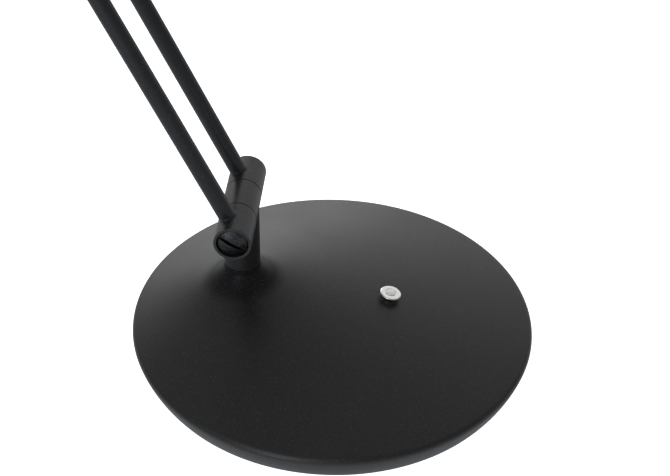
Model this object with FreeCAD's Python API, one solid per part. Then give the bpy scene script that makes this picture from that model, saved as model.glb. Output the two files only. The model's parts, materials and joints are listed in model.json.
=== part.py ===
"""Architect desk lamp: weighted round base, swivelling post, twin-rod lower arm,
single-tube upper arm and a flat round LED head.

Frame: millimetres, +Z up, origin at the centre of the base's underside.
+X is the user's side, where the button is. The post stands behind, on -X.
Every friction hinge turns about an axis parallel to Y.
"""
import FreeCAD, Part
import math
import os

V = FreeCAD.Vector
AXIS_X = V(1, 0, 0)
AXIS_Y = V(0, 1, 0)
AXIS_Z = V(0, 0, 1)

# ---- driving dimensions ------------------------------------------------------
# base cover: a rim wall under an oblique cone whose apex is at the post
BASE_R = 120.0            # rim crease radius
BASE_FOOT_R = 113.6       # where the wall meets the table
BASE_CREASE_Z = 17.3
BASE_WALL_FOOT_Z = 0.8
CREASE_FILLET = 1.2
WALL_BULGE = 0.7          # how far the wall arcs outside its chord
WALL_T = 2.4
APEX_X = -54.0            # the post's axis
CONE_TOP_R = 10.8
CONE_TOP_Z = 45.3
CAVITY_TOP_R = 14.0
CAVITY_TOP_Z = 41.3
CAVITY_EAVE_R = 116.2
CAVITY_EAVE_Z = 15.0

# post and barrels
BARREL_R = 10.5
SEAM_Z = 53.7             # top of the fixed collar on the cover
SEAM_T = 0.5
PIVOT_Z = 93.4            # height of the lower hinge
HUB_HALF = 11.6
WASHER_T = 0.4
BARREL_HALF = 36.5
BARREL_CHAMFER = 0.35
BOLT_R = 4.0
BOLT_HEAD_R = 8.45
BOLT_THREAD_END = 33.6    # how far the bolt reaches into the nut, from the middle
COUNTERBORE_R = 8.95
COUNTERBORE_FLOOR = 29.4
HEAD_SEAT = 31.0
HEAD_EDGE = 35.4
HEAD_APEX = 37.2
SLOT_W = 2.0
SLOT_DEPTH = 2.6
BOLT_SLOT_TURN = 55.0     # driver slot's turn from square to the rods, degrees
NUT_SLOT_TURN = 50.0

# arms
LEAN = 25.0               # lower arm leans this far back from upright
RISE = 12.0               # upper arm rises this far above level
LOWER_LENGTH = 400.0      # hinge axis to hinge axis
UPPER_LENGTH = 420.0
ROD_R = 4.9
ROD_BORE_R = 3.9
ROD_Y = 22.8              # each rod's distance from the middle plane
ROD_SEAT = 6.5            # rod end's distance from the hinge axis
TUBE_R = 7.0
TUBE_BORE_R = 6.0
TUBE_SEAT = 6.8
LEAD_R = 1.4
LEAD_INSET = 2.0          # how far a lead stops short of its rod's end

# button, in the cone's own slope: heights are above the cover
BUTTON_X = 33.45
BUTTON_R = 6.3
BUTTON_STEM_R = 3.7
BUTTON_TOP = 4.2
BUTTON_UNDER = 2.9

# head: heights are from the tilt axis
HEAD_BARREL_R = 9.5
HEAD_HUB_HALF = 8.0
HEAD_BARREL_HALF = 17.5
HEAD_BOLT_R = 3.0
SHADE_R = 80.0
SHADE_AHEAD = 36.0        # shade centre ahead of the neck
SHADE_TOP_Z = -33.8
SHADE_CREASE_Z = -53.0
SHADE_RIM_Z = -66.0
SHADE_TOP_R = 9.0
SHADE_WALL_T = 2.0
SHADE_STEM_R = 5.0

# fits
RUN_GAP = 0.05            # radial clearance of a turning fit
FIXED_GAP = 0.02          # radial clearance of a pressed or glued fit
FREE_GAP = 0.1            # radial clearance of a washer on its shaft
SCREW_GAP = 0.2           # radial clearance of a screw in a plain hole
PAST = 1.0                # how far a cutting solid runs past the face that it opens

# ---- worked-out places -------------------------------------------------------
CONE_SLOPE = math.degrees(math.atan2(CONE_TOP_Z - BASE_CREASE_Z,
                                     BASE_R - APEX_X - CONE_TOP_R))
LOWER_PIVOT = V(APEX_X, 0, PIVOT_Z)
ELBOW = LOWER_PIVOT + V(-math.sin(math.radians(LEAN)), 0,
                        math.cos(math.radians(LEAN))) * LOWER_LENGTH
HEAD_PIVOT = ELBOW + V(math.cos(math.radians(RISE)), 0,
                       math.sin(math.radians(RISE))) * UPPER_LENGTH
UPPER_TURN = 90.0 - RISE
POST_FOOT_Z = SEAM_Z + SEAM_T
parts = {}


# ---- helpers -----------------------------------------------------------------
def rod_z(r, z0, z1, x=0.0, y=0.0):
    """A cylinder along Z between two heights."""
    return Part.makeCylinder(r, z1 - z0, V(x, y, z0))


def rod_y(r, y0, y1):
    """A cylinder along Y about the Y axis."""
    return Part.makeCylinder(r, y1 - y0, V(0, y0, 0), AXIS_Y)


def rod_x(r, x0, x1, z):
    """A cylinder along X at a height."""
    return Part.makeCylinder(r, x1 - x0, V(x0, 0, z), AXIS_X)


def ring_z(outer, inner, z0, z1, x=0.0, y=0.0):
    return rod_z(outer, z0, z1, x, y).cut(rod_z(inner, z0 - PAST, z1 + PAST, x, y))


def ring_y(outer, inner, y0, y1):
    return rod_y(outer, y0, y1).cut(rod_y(inner, y0 - PAST, y1 + PAST))


def block(x0, x1, y0, y1, z0, z1):
    return Part.makeBox(x1 - x0, y1 - y0, z1 - z0, V(x0, y0, z0))


def bar(half_x, half_y, z0, z1):
    """A block centred on the Z axis."""
    return block(-half_x, half_x, -half_y, half_y, z0, z1)


def turned(outline):
    """A solid turned about Z from (radius, height) corners."""
    points = [V(r, 0, z) for r, z in outline]
    face = Part.Face(Part.makePolygon(points + points[:1]))
    return face.revolve(V(0, 0, 0), AXIS_Z, 360)


def turned_path(edges):
    """A solid turned about Z from the lines and arcs of its outline."""
    shapes = [edge.toShape() for edge in edges]
    return Part.Face(Part.Wire(shapes)).revolve(V(0, 0, 0), AXIS_Z, 360)


def round_places(count, out, first):
    """Points evenly spread on a circle, the first one at an angle in degrees."""
    angles = [math.radians(first + i * 360 / count) for i in range(count)]
    return [V(out * math.cos(a), out * math.sin(a), 0) for a in angles]


def hexagon(across_flats, z0, z1, hole_r):
    """A hexagon nut along Z with its hole."""
    corner = across_flats / 2 / math.cos(math.radians(30))
    points = [place + V(0, 0, z0) for place in round_places(6, corner, 0)]
    solid = Part.Face(Part.makePolygon(points + points[:1])).extrude(V(0, 0, z1 - z0))
    return solid.cut(rod_z(hole_r, z0 - PAST, z1 + PAST))


def placed(shape, at, turn_y=0.0):
    """A copy turned about Y and then moved to a point."""
    copy = shape.copy()
    copy.Placement = FreeCAD.Placement(at, FreeCAD.Rotation(AXIS_Y, turn_y)).multiply(copy.Placement)
    return copy


def mirrored(shape):
    """The same shape on the other side of the middle plane."""
    return shape.mirror(V(0, 0, 0), AXIS_Y)


def round_loft(r0, x0, z0, r1, x1, z1):
    """An oblique cone with straight generators between two level circles."""
    low = Part.Wire(Part.makeCircle(r0, V(x0, 0, z0)))
    high = Part.Wire(Part.makeCircle(r1, V(x1, 0, z1)))
    return Part.makeLoft([low, high], True, True)


def rim_disc(crease_r, crease_z, foot_r, foot_z, bulge, fillet):
    """The round rim, with a curved wall and a small fillet at its crease.

    Returns the disc, and the radius and height where the fillet meets the cone.
    """
    eave_turn = math.radians(10)
    middle_turn = math.radians(45)
    top = V(crease_r, 0, crease_z - fillet)
    foot = V(foot_r, 0, foot_z)
    middle = (top + foot) * 0.5 + V(bulge, 0, 0)
    centre = V(crease_r - fillet, 0, crease_z - fillet)
    corner = centre + V(math.cos(middle_turn), 0, math.sin(middle_turn)) * fillet
    end = centre + V(math.sin(eave_turn), 0, math.cos(eave_turn)) * fillet
    disc = turned_path([Part.LineSegment(V(0, 0, foot_z), foot),
                        Part.Arc(foot, middle, top),
                        Part.Arc(top, corner, end),
                        Part.LineSegment(end, V(0, 0, end.z)),
                        Part.LineSegment(V(0, 0, end.z), V(0, 0, foot_z))])
    return disc, end.x, end.z


def slotted_head(seat, edge, apex, radius, slot_depth, slot_w, turn):
    """A slightly domed round head along +Y with a full-width driver slot."""
    dome_root = 0.5
    side = rod_y(radius, seat, edge)
    rise = apex - edge
    ball_r = (radius ** 2 + rise ** 2) / (2 * rise)
    ball = Part.makeSphere(ball_r, V(0, apex - ball_r, 0))
    dome = ball.common(rod_y(radius, edge - dome_root, apex + PAST))
    reach = radius + PAST
    slot = block(-reach, reach, apex - slot_depth, apex + PAST, -slot_w / 2, slot_w / 2)
    slot.rotate(V(0, 0, 0), AXIS_Y, turn)
    return side.fuse(dome).cut(slot).removeSplitter()


# ---- base --------------------------------------------------------------------
# flare between the cone and the collar round the post
FLARE_R = 14.2
FLARE_FOOT_Z = 43.6
FLARE_TOP_Z = 48.8
FLARE_BEND = (0.9, 45.9)  # outside the collar, height

# swivel bearing, its stop and the mains inlet
BUSH_R = 7.5
BUSH_FLANGE_R = 9.5
BUSH_FLANGE_Z = 40.1
SPIGOT_R = 6.0
STOP_PIN_R = 1.2
STOP_PIN_OUT = 11.6       # from the post's axis
STOP_PIN_LOW = 38.0
STOP_PIN_TOP = 43.2
INLET_Z = 9.0
INLET_R = 4.6
INLET_BORE_R = 3.1
INLET_SHOULDER_X = -113.0
INLET_FLANGE_R = 5.7
INLET_FLANGE_T = 1.6

# bottom of the base, upwards: foot pad, plate, weight
PAD_R = 109.4
PAD_EDGE = 0.8
PLATE_LOW_Z = 1.5
PLATE_R = 110.6
WEIGHT_LOW_Z = 3.0
WEIGHT_TOP_Z = 12.5
WEIGHT_R = 103.0
WEIGHT_CHAMFER = 1.0
SCREW_R = 2.0
SCREW_HEAD_R = 3.6
SCREW_HEAD_LOW_Z = 0.3
SCREW_TIP_Z = 9.5
CROSS_HALF = (3.0, 0.4)   # half length and half width of each bar of the driver cross
CROSS_TOP_Z = 0.9
PAD_HOLE_R = 4.4
LUG_PLACES = round_places(4, 107.3, 45)
WEIGHT_PLACES = round_places(3, 60.0, 60)

# switch, along the button's axis: heights are from the cover's outer surface
BUTTON_HOLE_R = 4.6
STUD_OUT = 10.0
STUD_R = 2.6
STUD_LOW = -4.4
STUD_TOP = -1.5
PILOT_R = 1.25
PILOT_TOP = -1.6


def cover_outside():
    """The cover's outer form with its collar, before it is hollowed."""
    disc, eave_r, eave_z = rim_disc(BASE_R, BASE_CREASE_Z, BASE_FOOT_R, BASE_WALL_FOOT_Z,
                                    WALL_BULGE, CREASE_FILLET)
    cone = round_loft(eave_r, 0, eave_z, CONE_TOP_R, APEX_X, CONE_TOP_Z)
    flare_foot = V(FLARE_R, 0, FLARE_FOOT_Z)
    flare_bend = V(BARREL_R + FLARE_BEND[0], 0, FLARE_BEND[1])
    flare_top = V(BARREL_R, 0, FLARE_TOP_Z)
    rim = V(BARREL_R, 0, SEAM_Z)
    collar = turned_path([Part.LineSegment(V(0, 0, FLARE_FOOT_Z), flare_foot),
                          Part.Arc(flare_foot, flare_bend, flare_top),
                          Part.LineSegment(flare_top, rim),
                          Part.LineSegment(rim, V(0, 0, SEAM_Z)),
                          Part.LineSegment(V(0, 0, SEAM_Z), V(0, 0, FLARE_FOOT_Z))])
    collar.translate(V(APEX_X, 0, 0))
    return disc.fuse(cone).fuse(collar)


def cover_cavity():
    """The space under the cover."""
    disc, eave_r, eave_z = rim_disc(CAVITY_EAVE_R, CAVITY_EAVE_Z, BASE_FOOT_R - WALL_T,
                                    -PAST, WALL_BULGE, CREASE_FILLET)
    cone = round_loft(eave_r, 0, eave_z, CAVITY_TOP_R, APEX_X, CAVITY_TOP_Z)
    return disc.fuse(cone)


def on_slope(shape):
    """Moves a button part from its own frame to its seat on the cone."""
    height = CONE_TOP_Z - math.tan(math.radians(CONE_SLOPE)) * (BUTTON_X - APEX_X - CONE_TOP_R)
    return placed(shape, V(BUTTON_X, 0, height), CONE_SLOPE)


def base_cover():
    """Pressed steel cover with the bearing seat, button hole, stop pin hole and inlet."""
    cover = cover_outside().cut(cover_cavity())
    for side in (-1, 1):
        cover = cover.fuse(on_slope(rod_z(STUD_R, STUD_LOW, STUD_TOP, 0, side * STUD_OUT)))
    for side in (-1, 1):
        cover = cover.cut(on_slope(rod_z(PILOT_R, STUD_LOW - PAST, PILOT_TOP, 0, side * STUD_OUT)))
    cover = cover.cut(rod_z(BUSH_R + FIXED_GAP, CAVITY_TOP_Z - PAST, SEAM_Z + PAST, APEX_X))
    cover = cover.cut(on_slope(rod_z(BUTTON_HOLE_R, -3 * WALL_T, PAST)))
    cover = cover.cut(rod_z(STOP_PIN_R + FIXED_GAP, CAVITY_TOP_Z - PAST, STOP_PIN_TOP + FREE_GAP,
                            APEX_X + STOP_PIN_OUT))
    inlet = rod_x(INLET_R + FIXED_GAP, -BASE_R - PAST, -CAVITY_EAVE_R + 2 * INLET_R, INLET_Z)
    return cover.cut(inlet).removeSplitter()


def cover_lugs():
    """Four threaded lugs welded inside the rim wall."""
    inner, outer, half, low, high = 103.6, 118.0, 6.0, 3.1, 11.5
    space = cover_cavity()
    lugs = []
    for place in LUG_PLACES:
        lug = block(inner, outer, -half, half, low, high)
        lug.rotate(V(0, 0, 0), AXIS_Z, math.degrees(math.atan2(place.y, place.x)))
        hole = rod_z(SCREW_R + FIXED_GAP, low - PAST, high + PAST, place.x, place.y)
        lugs.append(lug.common(space).cut(hole))
    return Part.makeCompound(lugs)


def base_weight():
    """Cast-iron disc with blind screw holes in its underside."""
    hole_top = 10.0
    neck = WEIGHT_R - WEIGHT_CHAMFER
    weight = turned([(0, WEIGHT_LOW_Z), (neck, WEIGHT_LOW_Z), (WEIGHT_R, WEIGHT_LOW_Z + WEIGHT_CHAMFER),
                     (WEIGHT_R, WEIGHT_TOP_Z - WEIGHT_CHAMFER), (neck, WEIGHT_TOP_Z), (0, WEIGHT_TOP_Z)])
    for place in WEIGHT_PLACES:
        hole = rod_z(SCREW_R + FIXED_GAP, WEIGHT_LOW_Z - PAST, hole_top, place.x, place.y)
        weight = weight.cut(hole)
    return weight


def base_plate():
    plate = rod_z(PLATE_R, PLATE_LOW_Z, WEIGHT_LOW_Z)
    for place in LUG_PLACES + WEIGHT_PLACES:
        plate = plate.cut(rod_z(SCREW_R + SCREW_GAP, 0, WEIGHT_LOW_Z + PAST, place.x, place.y))
    return plate


def foot_pad():
    pad = turned([(0, 0), (PAD_R - PAD_EDGE, 0), (PAD_R, PAD_EDGE), (PAD_R, PLATE_LOW_Z),
                  (0, PLATE_LOW_Z)])
    for place in WEIGHT_PLACES + LUG_PLACES:
        pad = pad.cut(rod_z(PAD_HOLE_R, -PAST, PLATE_LOW_Z + PAST, place.x, place.y))
    return pad


def base_screws():
    """Flat cross-head screws that hold the plate to the lugs and to the weight."""
    long_half, short_half = CROSS_HALF
    screws = []
    for place in LUG_PLACES + WEIGHT_PLACES:
        head = rod_z(SCREW_HEAD_R, SCREW_HEAD_LOW_Z, PLATE_LOW_Z)
        screw = head.fuse(rod_z(SCREW_R, PLATE_LOW_Z, SCREW_TIP_Z))
        screw = screw.cut(bar(long_half, short_half, 0, CROSS_TOP_Z))
        screw = screw.cut(bar(short_half, long_half, 0, CROSS_TOP_Z))
        screw.translate(place)
        screws.append(screw)
    return Part.makeCompound(screws)


def cord_bushing():
    """The rubber bushing of the mains inlet, flush with the wall."""
    wall, _, _ = rim_disc(BASE_R, BASE_CREASE_Z, BASE_FOOT_R, BASE_WALL_FOOT_Z,
                          WALL_BULGE, CREASE_FILLET)
    outside = -BASE_R - PAST
    flange_end = INLET_SHOULDER_X + INLET_FLANGE_T
    sleeve = rod_x(INLET_R, outside, INLET_SHOULDER_X, INLET_Z).common(wall)
    flange = rod_x(INLET_FLANGE_R, INLET_SHOULDER_X, flange_end, INLET_Z)
    return sleeve.fuse(flange).cut(rod_x(INLET_BORE_R, outside, flange_end + PAST, INLET_Z))


def swivel_bush():
    bore = SPIGOT_R + RUN_GAP
    bush = turned([(bore, BUSH_FLANGE_Z), (BUSH_FLANGE_R, BUSH_FLANGE_Z),
                   (BUSH_FLANGE_R, CAVITY_TOP_Z), (BUSH_R, CAVITY_TOP_Z),
                   (BUSH_R, SEAM_Z), (bore, SEAM_Z)])
    bush.translate(V(APEX_X, 0, 0))
    return bush


def swivel_stop_pin():
    return rod_z(STOP_PIN_R, STOP_PIN_LOW, STOP_PIN_TOP, APEX_X + STOP_PIN_OUT)


# ---- switch and button -------------------------------------------------------
SWITCH_R = 6.6
SWITCH_LOW = -16.4
SWITCH_TOP = -4.5
SWITCH_WELL_R = 4.9
SWITCH_WELL_FLOOR = -15.0
SWITCH_TAIL_HOLE_R = 1.7
EAR_R = 3.2
EAR_LOW = -6.0
EAR_HOLE_R = 1.3
CAP_TAIL_R = 1.5
CAP_TAIL_LOW = -13.0
CAP_SHOULDER_R = 4.7
CAP_SHOULDER = (-6.4, -4.55)
CAP_NECK = (4.6, 2.3)     # radius and height of the flare under the cap
CAP_EDGE = 0.4
RECESS_R = 3.35
RECESS_FLOOR = 3.6


def switch_bush():
    """Nylon guide of the button's stem, with a flange under the cover."""
    bore = BUTTON_STEM_R + 0.08
    sleeve_r, sleeve_top, flange_r, flange_low, flange_top = 4.55, -0.3, 6.8, -4.4, -3.6
    return on_slope(turned([(bore, flange_low), (flange_r, flange_low), (flange_r, flange_top),
                            (sleeve_r, flange_top), (sleeve_r, sleeve_top), (bore, sleeve_top)]))


def switch_body():
    """Round switch housing with two screw ears and a well for the spring."""
    body = rod_z(SWITCH_R, SWITCH_LOW, SWITCH_TOP)
    ears = bar(EAR_R, STUD_OUT, EAR_LOW, SWITCH_TOP)
    for side in (-1, 1):
        ears = ears.fuse(rod_z(EAR_R, EAR_LOW, SWITCH_TOP, 0, side * STUD_OUT))
    body = body.fuse(ears).cut(rod_z(SWITCH_WELL_R, SWITCH_WELL_FLOOR, 0))
    body = body.cut(rod_z(SWITCH_TAIL_HOLE_R, SWITCH_LOW - PAST, 0))
    for side in (-1, 1):
        body = body.cut(rod_z(EAR_HOLE_R, EAR_LOW - PAST, 0, 0, side * STUD_OUT))
    return on_slope(body)


def switch_screws():
    head_r, head_low, shank_r, tip, slot_half, slot_top = 2.3, -7.4, 1.2, -1.8, 0.3, -6.8
    screws = []
    for side in (-1, 1):
        y = side * STUD_OUT
        screw = rod_z(head_r, head_low, EAR_LOW, 0, y).fuse(rod_z(shank_r, EAR_LOW, tip, 0, y))
        slot = block(-head_r - PAST, head_r + PAST, y - slot_half, y + slot_half,
                     head_low - PAST, slot_top)
        screws.append(on_slope(screw.cut(slot)))
    return Part.makeCompound(screws)


def button_cap():
    """Chrome mushroom cap with its stem, retaining shoulder and tail."""
    shoulder_low, shoulder_top = CAP_SHOULDER
    neck_r, neck_z = CAP_NECK
    flat_r = BUTTON_R - CAP_EDGE
    lip = 0.3
    return on_slope(turned([(0, CAP_TAIL_LOW), (CAP_TAIL_R, CAP_TAIL_LOW),
                            (CAP_TAIL_R, shoulder_low), (CAP_SHOULDER_R, shoulder_low),
                            (CAP_SHOULDER_R, shoulder_top), (BUTTON_STEM_R, shoulder_top),
                            (BUTTON_STEM_R, neck_z), (neck_r, BUTTON_UNDER - 0.2),
                            (neck_r, BUTTON_UNDER), (flat_r, BUTTON_UNDER),
                            (BUTTON_R, BUTTON_UNDER + lip), (BUTTON_R, BUTTON_TOP - lip - 0.05),
                            (flat_r, BUTTON_TOP), (RECESS_R, BUTTON_TOP),
                            (RECESS_R, RECESS_FLOOR), (0, RECESS_FLOOR)]))


def button_insert():
    """Satin disc in the cap's recess, very slightly crowned."""
    radius, edge_z, flat_r, flat_z, crown_z = 2.95, 4.1, 2.75, 4.25, 4.35
    return on_slope(turned([(0, RECESS_FLOOR), (radius, RECESS_FLOOR), (radius, edge_z),
                            (flat_r, flat_z), (0, crown_z)]))


def switch_spring():
    """Return spring of the button: a coil of round wire."""
    wire_r, coil_r, pitch, height, start = 0.3, 2.9, 1.56, 7.8, -14.65
    helix = Part.makeHelix(pitch, height, coil_r)
    section = Part.Wire(Part.makeCircle(wire_r, V(coil_r, 0, 0), AXIS_Y))
    coil = Part.Wire(helix.Edges).makePipeShell([section], True, True)
    coil.translate(V(0, 0, start))
    return on_slope(coil)


# ---- LED driver --------------------------------------------------------------
TRAY_X = (-33.0, 13.0)
TRAY_HALF_Y = 26.0
TRAY_LOW_Z = 12.6
TRAY_TOP_Z = 22.0
TRAY_WALL = 1.6
TRAY_POST_TOP_Z = 16.4
BOARD_LOW_Z = 16.5
BOARD_TOP_Z = 18.1


def driver_tray():
    """Open insulating tray with four posts for the board."""
    x0, x1 = TRAY_X
    inset, post_r = 5.0, 2.4
    inside_y = TRAY_HALF_Y - TRAY_WALL
    tray = block(x0, x1, -TRAY_HALF_Y, TRAY_HALF_Y, TRAY_LOW_Z, TRAY_TOP_Z)
    tray = tray.cut(block(x0 + TRAY_WALL, x1 - TRAY_WALL, -inside_y, inside_y,
                          TRAY_LOW_Z + TRAY_WALL, TRAY_TOP_Z + PAST))
    for x in (x0 + inset, x1 - inset):
        for y in (-TRAY_HALF_Y + inset, TRAY_HALF_Y - inset):
            tray = tray.fuse(rod_z(post_r, TRAY_LOW_Z + PAST, TRAY_POST_TOP_Z, x, y))
    return tray


def driver_board():
    x0, x1 = TRAY_X
    gap = TRAY_WALL + 0.4
    return block(x0 + gap, x1 - gap, -TRAY_HALF_Y + gap, TRAY_HALF_Y - gap, BOARD_LOW_Z, BOARD_TOP_Z)


def driver_parts():
    """Transformer, two capacitors, driver chip and terminal block."""
    def brick(x, y, length, width, height):
        return block(x - length / 2, x + length / 2, y - width / 2, y + width / 2,
                     BOARD_TOP_Z, BOARD_TOP_Z + height)

    capacitor_r, capacitor_height = 4.0, 9.4
    transformer = brick(-21, -1, 14, 18, 8.9)
    chip = brick(-5, -8, 6, 8, 1.5)
    terminals = brick(6, -9, 8, 14, 6.9)
    capacitors = [rod_z(capacitor_r, BOARD_TOP_Z, BOARD_TOP_Z + capacitor_height, x, 14)
                  for x in (-4, 5)]
    return Part.makeCompound([transformer, *capacitors, chip, terminals])


# ---- post and swivel ---------------------------------------------------------
POST_BORE_R = 3.2
SPIGOT_LOW_Z = 31.5
HINGE_BUSH_R = 5.5
KEY_WASHER_Z = (38.5, 39.9)
LOCK_NUT_Z = (32.0, 37.0)


def post():
    """Post with its cross hub and the spigot that turns in the base."""
    body = rod_z(BARREL_R, POST_FOOT_Z, PIVOT_Z, APEX_X)
    hub = placed(rod_y(BARREL_R, -HUB_HALF, HUB_HALF), LOWER_PIVOT)
    body = body.fuse(hub).fuse(rod_z(SPIGOT_R, SPIGOT_LOW_Z, POST_FOOT_Z + PAST, APEX_X))
    body = body.cut(rod_z(POST_BORE_R, SPIGOT_LOW_Z - PAST, PIVOT_Z, APEX_X))
    cross_bore = rod_y(HINGE_BUSH_R, -HUB_HALF - PAST, HUB_HALF + PAST)
    return body.cut(placed(cross_bore, LOWER_PIVOT)).removeSplitter()


def swivel_washer():
    """Slip washer that shows as the seam between the collar and the post."""
    outer = BARREL_R - 0.6
    return ring_z(outer, SPIGOT_R + FREE_GAP, SEAM_Z, POST_FOOT_Z, APEX_X)


def swivel_stop_washer():
    """Key washer whose nose meets the stop pin near the end of each turn."""
    low, high = KEY_WASHER_Z
    disc_r, nose_reach, nose_half = 9.2, 13.2, 2.5
    nose = block(-nose_reach, 0, -nose_half, nose_half, low, high)
    washer = rod_z(disc_r, low, high).fuse(nose)
    washer = washer.cut(rod_z(SPIGOT_R + FIXED_GAP, low - PAST, high + PAST))
    washer.translate(V(APEX_X, 0, 0))
    return washer


def swivel_spring_washer():
    """Dished washer between the nut and the key washer."""
    bore, outer, thick, dish = SPIGOT_R + FREE_GAP, 9.0, 0.8, 0.4
    low = LOCK_NUT_Z[1] + FREE_GAP
    washer = turned([(bore, low + dish), (outer, low), (outer, low + thick),
                     (bore, low + dish + thick + FREE_GAP)])
    washer.translate(V(APEX_X, 0, 0))
    return washer


def swivel_lock_nut():
    across_flats = 18.0
    low, high = LOCK_NUT_Z
    nut = hexagon(across_flats, low, high, SPIGOT_R + FIXED_GAP)
    nut.translate(V(APEX_X, 0, 0))
    return nut


# ---- friction hinges: each is built about the Y axis at the origin -----------
def hub_bushes():
    """Two bronze sleeves in the hub, with a gap between for the lead."""
    half_gap = 2.4
    sleeve = ring_y(HINGE_BUSH_R - FIXED_GAP, BOLT_R + RUN_GAP, half_gap, HUB_HALF)
    return [sleeve, mirrored(sleeve)]


def friction_washers():
    disc = ring_y(BARREL_R - 0.6, BOLT_R + RUN_GAP, HUB_HALF, HUB_HALF + WASHER_T)
    return [disc, mirrored(disc)]


def pivot_bolt():
    """Slotted pivot bolt, its head on the -Y side."""
    head = mirrored(slotted_head(HEAD_SEAT, HEAD_EDGE, HEAD_APEX, BOLT_HEAD_R,
                                 SLOT_DEPTH, SLOT_W, BOLT_SLOT_TURN))
    return head.fuse(rod_y(BOLT_R, -HEAD_SEAT - PAST, BOLT_THREAD_END))


def pivot_nut():
    """Slotted barrel nut on the +Y side."""
    head = slotted_head(HEAD_SEAT, HEAD_EDGE, HEAD_APEX, BOLT_HEAD_R, SLOT_DEPTH, SLOT_W,
                        NUT_SLOT_TURN)
    return head.cut(rod_y(BOLT_R + FIXED_GAP, HEAD_SEAT - PAST, BOLT_THREAD_END + 0.4))


def spring_washers():
    """One dished washer under each head."""
    bore, outer, thick, dish = BOLT_R + FREE_GAP, 8.2, 0.8, 0.6
    seat = COUNTERBORE_FLOOR + FREE_GAP
    washer = turned([(bore, seat), (outer, seat + dish), (outer, seat + dish + thick),
                     (bore, seat + thick)])
    washer.rotate(V(0, 0, 0), AXIS_X, -90)
    return [washer, mirrored(washer)]


def rod_collar():
    """Outer barrel segment on the +Y side, bored for the bolt and socketed for its rod."""
    barrel = rod_y(BARREL_R, HUB_HALF + WASHER_T, BARREL_HALF)
    barrel = barrel.makeChamfer(BARREL_CHAMFER, [barrel.Edges[0], barrel.Edges[2]])
    barrel = barrel.cut(rod_y(BOLT_R + RUN_GAP, 0, BARREL_HALF + PAST))
    barrel = barrel.cut(rod_y(COUNTERBORE_R, COUNTERBORE_FLOOR, BARREL_HALF + PAST))
    return barrel.cut(rod_z(ROD_R + FIXED_GAP, ROD_SEAT, 2 * BARREL_R, 0, ROD_Y))


# ---- lower arm, with +Z along the rods ---------------------------------------
def lower_rod():
    return ring_z(ROD_R, ROD_BORE_R, ROD_SEAT, LOWER_LENGTH - ROD_SEAT, 0, ROD_Y)


def lower_arm_lead():
    inset = ROD_SEAT + LEAD_INSET
    return rod_z(LEAD_R, inset, LOWER_LENGTH - inset, 0, ROD_Y)


# ---- upper arm, with +Z along the tube ---------------------------------------
END_COLLAR_R = 8.2
END_COLLAR_CHAMFER = 0.6
ROLL_SEAM = 24.0          # knuckle shoulder's distance from the tilt axis
ROLL_WASHER_T = 0.4
ROLL_SPIGOT_R = 4.6
TUBE_END = UPPER_LENGTH - 27.0
END_COLLAR_LOW = UPPER_LENGTH - 40.0
END_COLLAR_HIGH = UPPER_LENGTH - ROLL_SEAM - ROLL_WASHER_T
ROLL_BUSH_LOW = UPPER_LENGTH - 43.4
UPPER_LEAD_END = UPPER_LENGTH - 50.0


def elbow_hub():
    hub = rod_y(BARREL_R, -HUB_HALF, HUB_HALF)
    hub = hub.cut(rod_y(HINGE_BUSH_R, -HUB_HALF - PAST, HUB_HALF + PAST))
    return hub.cut(rod_z(TUBE_R + FIXED_GAP, TUBE_SEAT, 2 * BARREL_R))


def upper_tube():
    return ring_z(TUBE_R, TUBE_BORE_R, TUBE_SEAT, TUBE_END)


def upper_end_collar():
    """Collar over the tube's end, where the head rolls."""
    collar = rod_z(END_COLLAR_R, END_COLLAR_LOW, END_COLLAR_HIGH)
    collar = collar.makeChamfer(END_COLLAR_CHAMFER, [collar.Edges[0], collar.Edges[2]])
    collar = collar.cut(rod_z(TUBE_R + FIXED_GAP, END_COLLAR_LOW - PAST, TUBE_END))
    return collar.cut(rod_z(ROLL_SPIGOT_R + SCREW_GAP, END_COLLAR_LOW, END_COLLAR_HIGH + PAST))


def roll_bush():
    return ring_z(TUBE_BORE_R - FIXED_GAP, ROLL_SPIGOT_R + RUN_GAP, ROLL_BUSH_LOW, TUBE_END)


def upper_arm_lead():
    return rod_z(LEAD_R, TUBE_SEAT + LEAD_INSET, UPPER_LEAD_END)


# ---- knuckle, with +Z along the tube and the tilt axis at the origin ---------
NECK_R = 5.6
SHOULDER_TOP = -18.0
SPIGOT_END = -46.0
GROOVE = (-44.7, -43.7)
GROOVE_R = 4.0
KNUCKLE_BORE_R = 1.8


def head_knuckle():
    """Hub of the tilt hinge with the spigot that rolls in the tube's end."""
    groove_low, groove_high = GROOVE
    bore_top = -5.0
    hub = rod_y(HEAD_BARREL_R, -HEAD_HUB_HALF, HEAD_HUB_HALF)
    stem = rod_z(NECK_R, SHOULDER_TOP - PAST, 0)
    stem = stem.fuse(rod_z(END_COLLAR_R - 0.2, -ROLL_SEAM, SHOULDER_TOP))
    stem = stem.fuse(rod_z(ROLL_SPIGOT_R, SPIGOT_END, -ROLL_SEAM + PAST))
    body = hub.fuse(stem).cut(ring_z(END_COLLAR_R, GROOVE_R, groove_low, groove_high))
    body = body.cut(rod_z(KNUCKLE_BORE_R, SPIGOT_END - PAST, bore_top))
    bolt_bore = rod_y(HEAD_BOLT_R + RUN_GAP, -HEAD_HUB_HALF - PAST, HEAD_HUB_HALF + PAST)
    return body.cut(bolt_bore).removeSplitter()


def roll_washer():
    outer = 7.6
    return ring_z(outer, ROLL_SPIGOT_R + FREE_GAP, -ROLL_SEAM - ROLL_WASHER_T, -ROLL_SEAM)


def roll_circlip():
    """Open clip in the spigot's groove, behind the roll bush."""
    outer, gap_half, side_gap = 5.6, 1.2, 0.1
    low, high = GROOVE[0] + side_gap, GROOVE[1] - side_gap
    clip = ring_z(outer, GROOVE_R + RUN_GAP, low, high)
    return clip.cut(block(0, outer + PAST, -gap_half, gap_half, low - PAST, high + PAST))


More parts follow.
